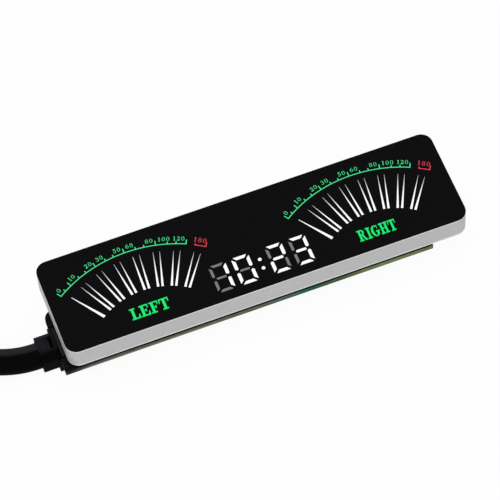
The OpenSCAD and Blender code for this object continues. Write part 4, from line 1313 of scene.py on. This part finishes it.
class METER_OT_cans(bpy.types.Operator):
    """Finishes the supply capacitors with the mark on their ends"""
    bl_idname = "meter.cans"
    bl_label = "Supply capacitors"

    def execute(self, context):
        dress(self.sleeve(), "capacitor_cans")
        rounded("capacitor_bases", sizes().chip_edge, nylon())
        return {"FINISHED"}

    def sleeve(self):
        # Drawn aluminium can: satin, with fine lines round it, and a black half-moon printed on its end
        low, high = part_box("capacitor_cans")
        made, tree = new_material("Drawn aluminium", Metallic=1.0)
        at = place(tree)
        fine = noise(tree, stretched(tree, at, (0.1, 0.1, 1)), 0.2, 3.0)
        metal = blend(tree, fine, srgb("#aeb0b3"), srgb("#d2d4d6"))
        inked = calc(tree, "MULTIPLY",
                     calc(tree, "LESS_THAN", along(tree, at, "X"), low.x + MARK_SHARE * (high.x - low.x) / 2),
                     calc(tree, "LESS_THAN", upward(tree), -0.9))
        feed(tree,
             Base_Color=blend(tree, inked, metal, srgb("#101113")),
             Metallic=calc(tree, "SUBTRACT", 1.0, inked),
             Roughness=remap(tree, fine, low=0.24, high=0.46))
        return made


COVER_EDGE, RIVET_IN = 0.04 * MM, 0.75 * MM


class METER_OT_switches(bpy.types.Operator):
    """Finishes the three setting switches and rivets their covers down"""
    bl_idname = "meter.switches"
    bl_label = "Setting switches"

    def execute(self, context):
        rounded("switch_bodies", sizes().chip_edge, nylon())
        # Stamped and nickel-plated sheet: bright, with a soft rolled grain
        sheet = grained("Nickel-plated sheet", srgb("#b9bbbd"), 0.32, 0.2, 0.003, stretch=(0.2, 1, 1), Metallic=1.0)
        rounded("switch_covers", COVER_EDGE, sheet)
        # Acetal button: dark, smooth and slightly waxy
        dress(grained("Moulded acetal", srgb("#2b2d30"), 0.4, 0.25, 0.004), "set_button", "up_button", "down_button")
        # Spring bronze: warm and bright
        dress(grained("Spring bronze", srgb("#c8a253"), 0.25, 0.2, 0.002, Metallic=1.0), "switch_domes")
        rivet = turned([(0.36, -0.03), (0.36, 0.03), (0.3, 0.09), (0.16, 0.12)], sides=14)
        places = [(x, y, low.z) for low, high in map(span, solids_of("switch_covers"))
                  for x in (low.x + RIVET_IN, high.x - RIVET_IN) for y in (low.y + RIVET_IN, high.y - RIVET_IN)]
        smooth(finish_piece(scatter(rivet, places, FLIPPED), "cover_rivets", nylon()))
        return {"FINISHED"}


SHELL_EDGE, MOUTH_REACH, MOUTH_FLARE = 0.05 * MM, 0.01 * MM, 1.05


class METER_OT_socket(bpy.types.Operator):
    """Finishes the socket's folded shell, its core and its contacts"""
    bl_idname = "meter.socket"
    bl_label = "Socket"

    def execute(self, context):
        shell = copy_of("socket_shell", "socket_shell_folded")
        low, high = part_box("socket_shell")
        edit(shell)
        select(shell, "FACE", lambda f: f.normal.x < -0.9 and f.calc_center_median().x < low.x + MOUTH_REACH)
        # The mouth flares to both sides in front of the board's notch
        draw_out((-sizes().mouth_lip, 0, 0), (1, MOUTH_FLARE, 1), (0, (low.y + high.y) / 2, 0))
        round_edges(shell, SHELL_EDGE, steeper(55))
        smooth(shell)
        # Folded sheet metal, dark as painted shade, with a soft rolled grain
        plated = grained("Black nickel plate", srgb("#232426"), 0.4, 0.25, 0.003, stretch=(0.2, 1, 1), Metallic=1.0)
        finish_piece(shell, "socket_shell_folded", plated, ["socket_shell"])
        dress(nylon(), "socket_core")
        dress(gold_flash(), "socket_contacts")
        return {"FINISHED"}


class METER_PT_panel(bpy.types.Panel):
    """Lists the steps that dress the module"""
    bl_idname = "METER_PT_panel"
    bl_label = "Level meter"
    bl_space_type = "VIEW_3D"
    bl_region_type = "UI"
    bl_category = "Level meter"

    def draw(self, context):
        for group in (context.scene.meter_sizes, context.scene.meter_colours):
            for name in group.bl_rna.properties.keys():
                if name not in ("rna_type", "name"):
                    self.layout.prop(group, name)
        for step in STEPS:
            self.layout.operator(step.bl_idname)


STEPS = (METER_OT_camera, METER_OT_plugs, METER_OT_straps, METER_OT_lead, METER_OT_stage, METER_OT_housing,
         METER_OT_film, METER_OT_dials, METER_OT_clock, METER_OT_numerals, METER_OT_board, METER_OT_solder,
         METER_OT_outlines, METER_OT_chips, METER_OT_cans, METER_OT_switches, METER_OT_socket)
CLASSES = (MeterSizes, MeterColours) + STEPS + (METER_PT_panel,)


def register():
    for made in CLASSES:
        bpy.utils.register_class(made)
    bpy.types.Scene.meter_sizes = bpy.props.PointerProperty(type=MeterSizes)
    bpy.types.Scene.meter_colours = bpy.props.PointerProperty(type=MeterColours)


def unregister():
    del bpy.types.Scene.meter_colours
    del bpy.types.Scene.meter_sizes
    for made in reversed(CLASSES):
        bpy.utils.unregister_class(made)


def main():
    register()
    bpy.ops.meter.camera()
    bpy.ops.meter.plugs()
    bpy.ops.meter.straps()
    bpy.ops.meter.lead()
    bpy.ops.meter.stage()
    bpy.ops.meter.housing()
    bpy.ops.meter.film()
    bpy.ops.meter.dials()
    bpy.ops.meter.clock()
    bpy.ops.meter.numerals()
    bpy.ops.meter.board()
    bpy.ops.meter.solder()
    bpy.ops.meter.outlines()
    bpy.ops.meter.chips()
    bpy.ops.meter.cans()
    bpy.ops.meter.switches()
    bpy.ops.meter.socket()


if __name__ == "__main__":
    main()
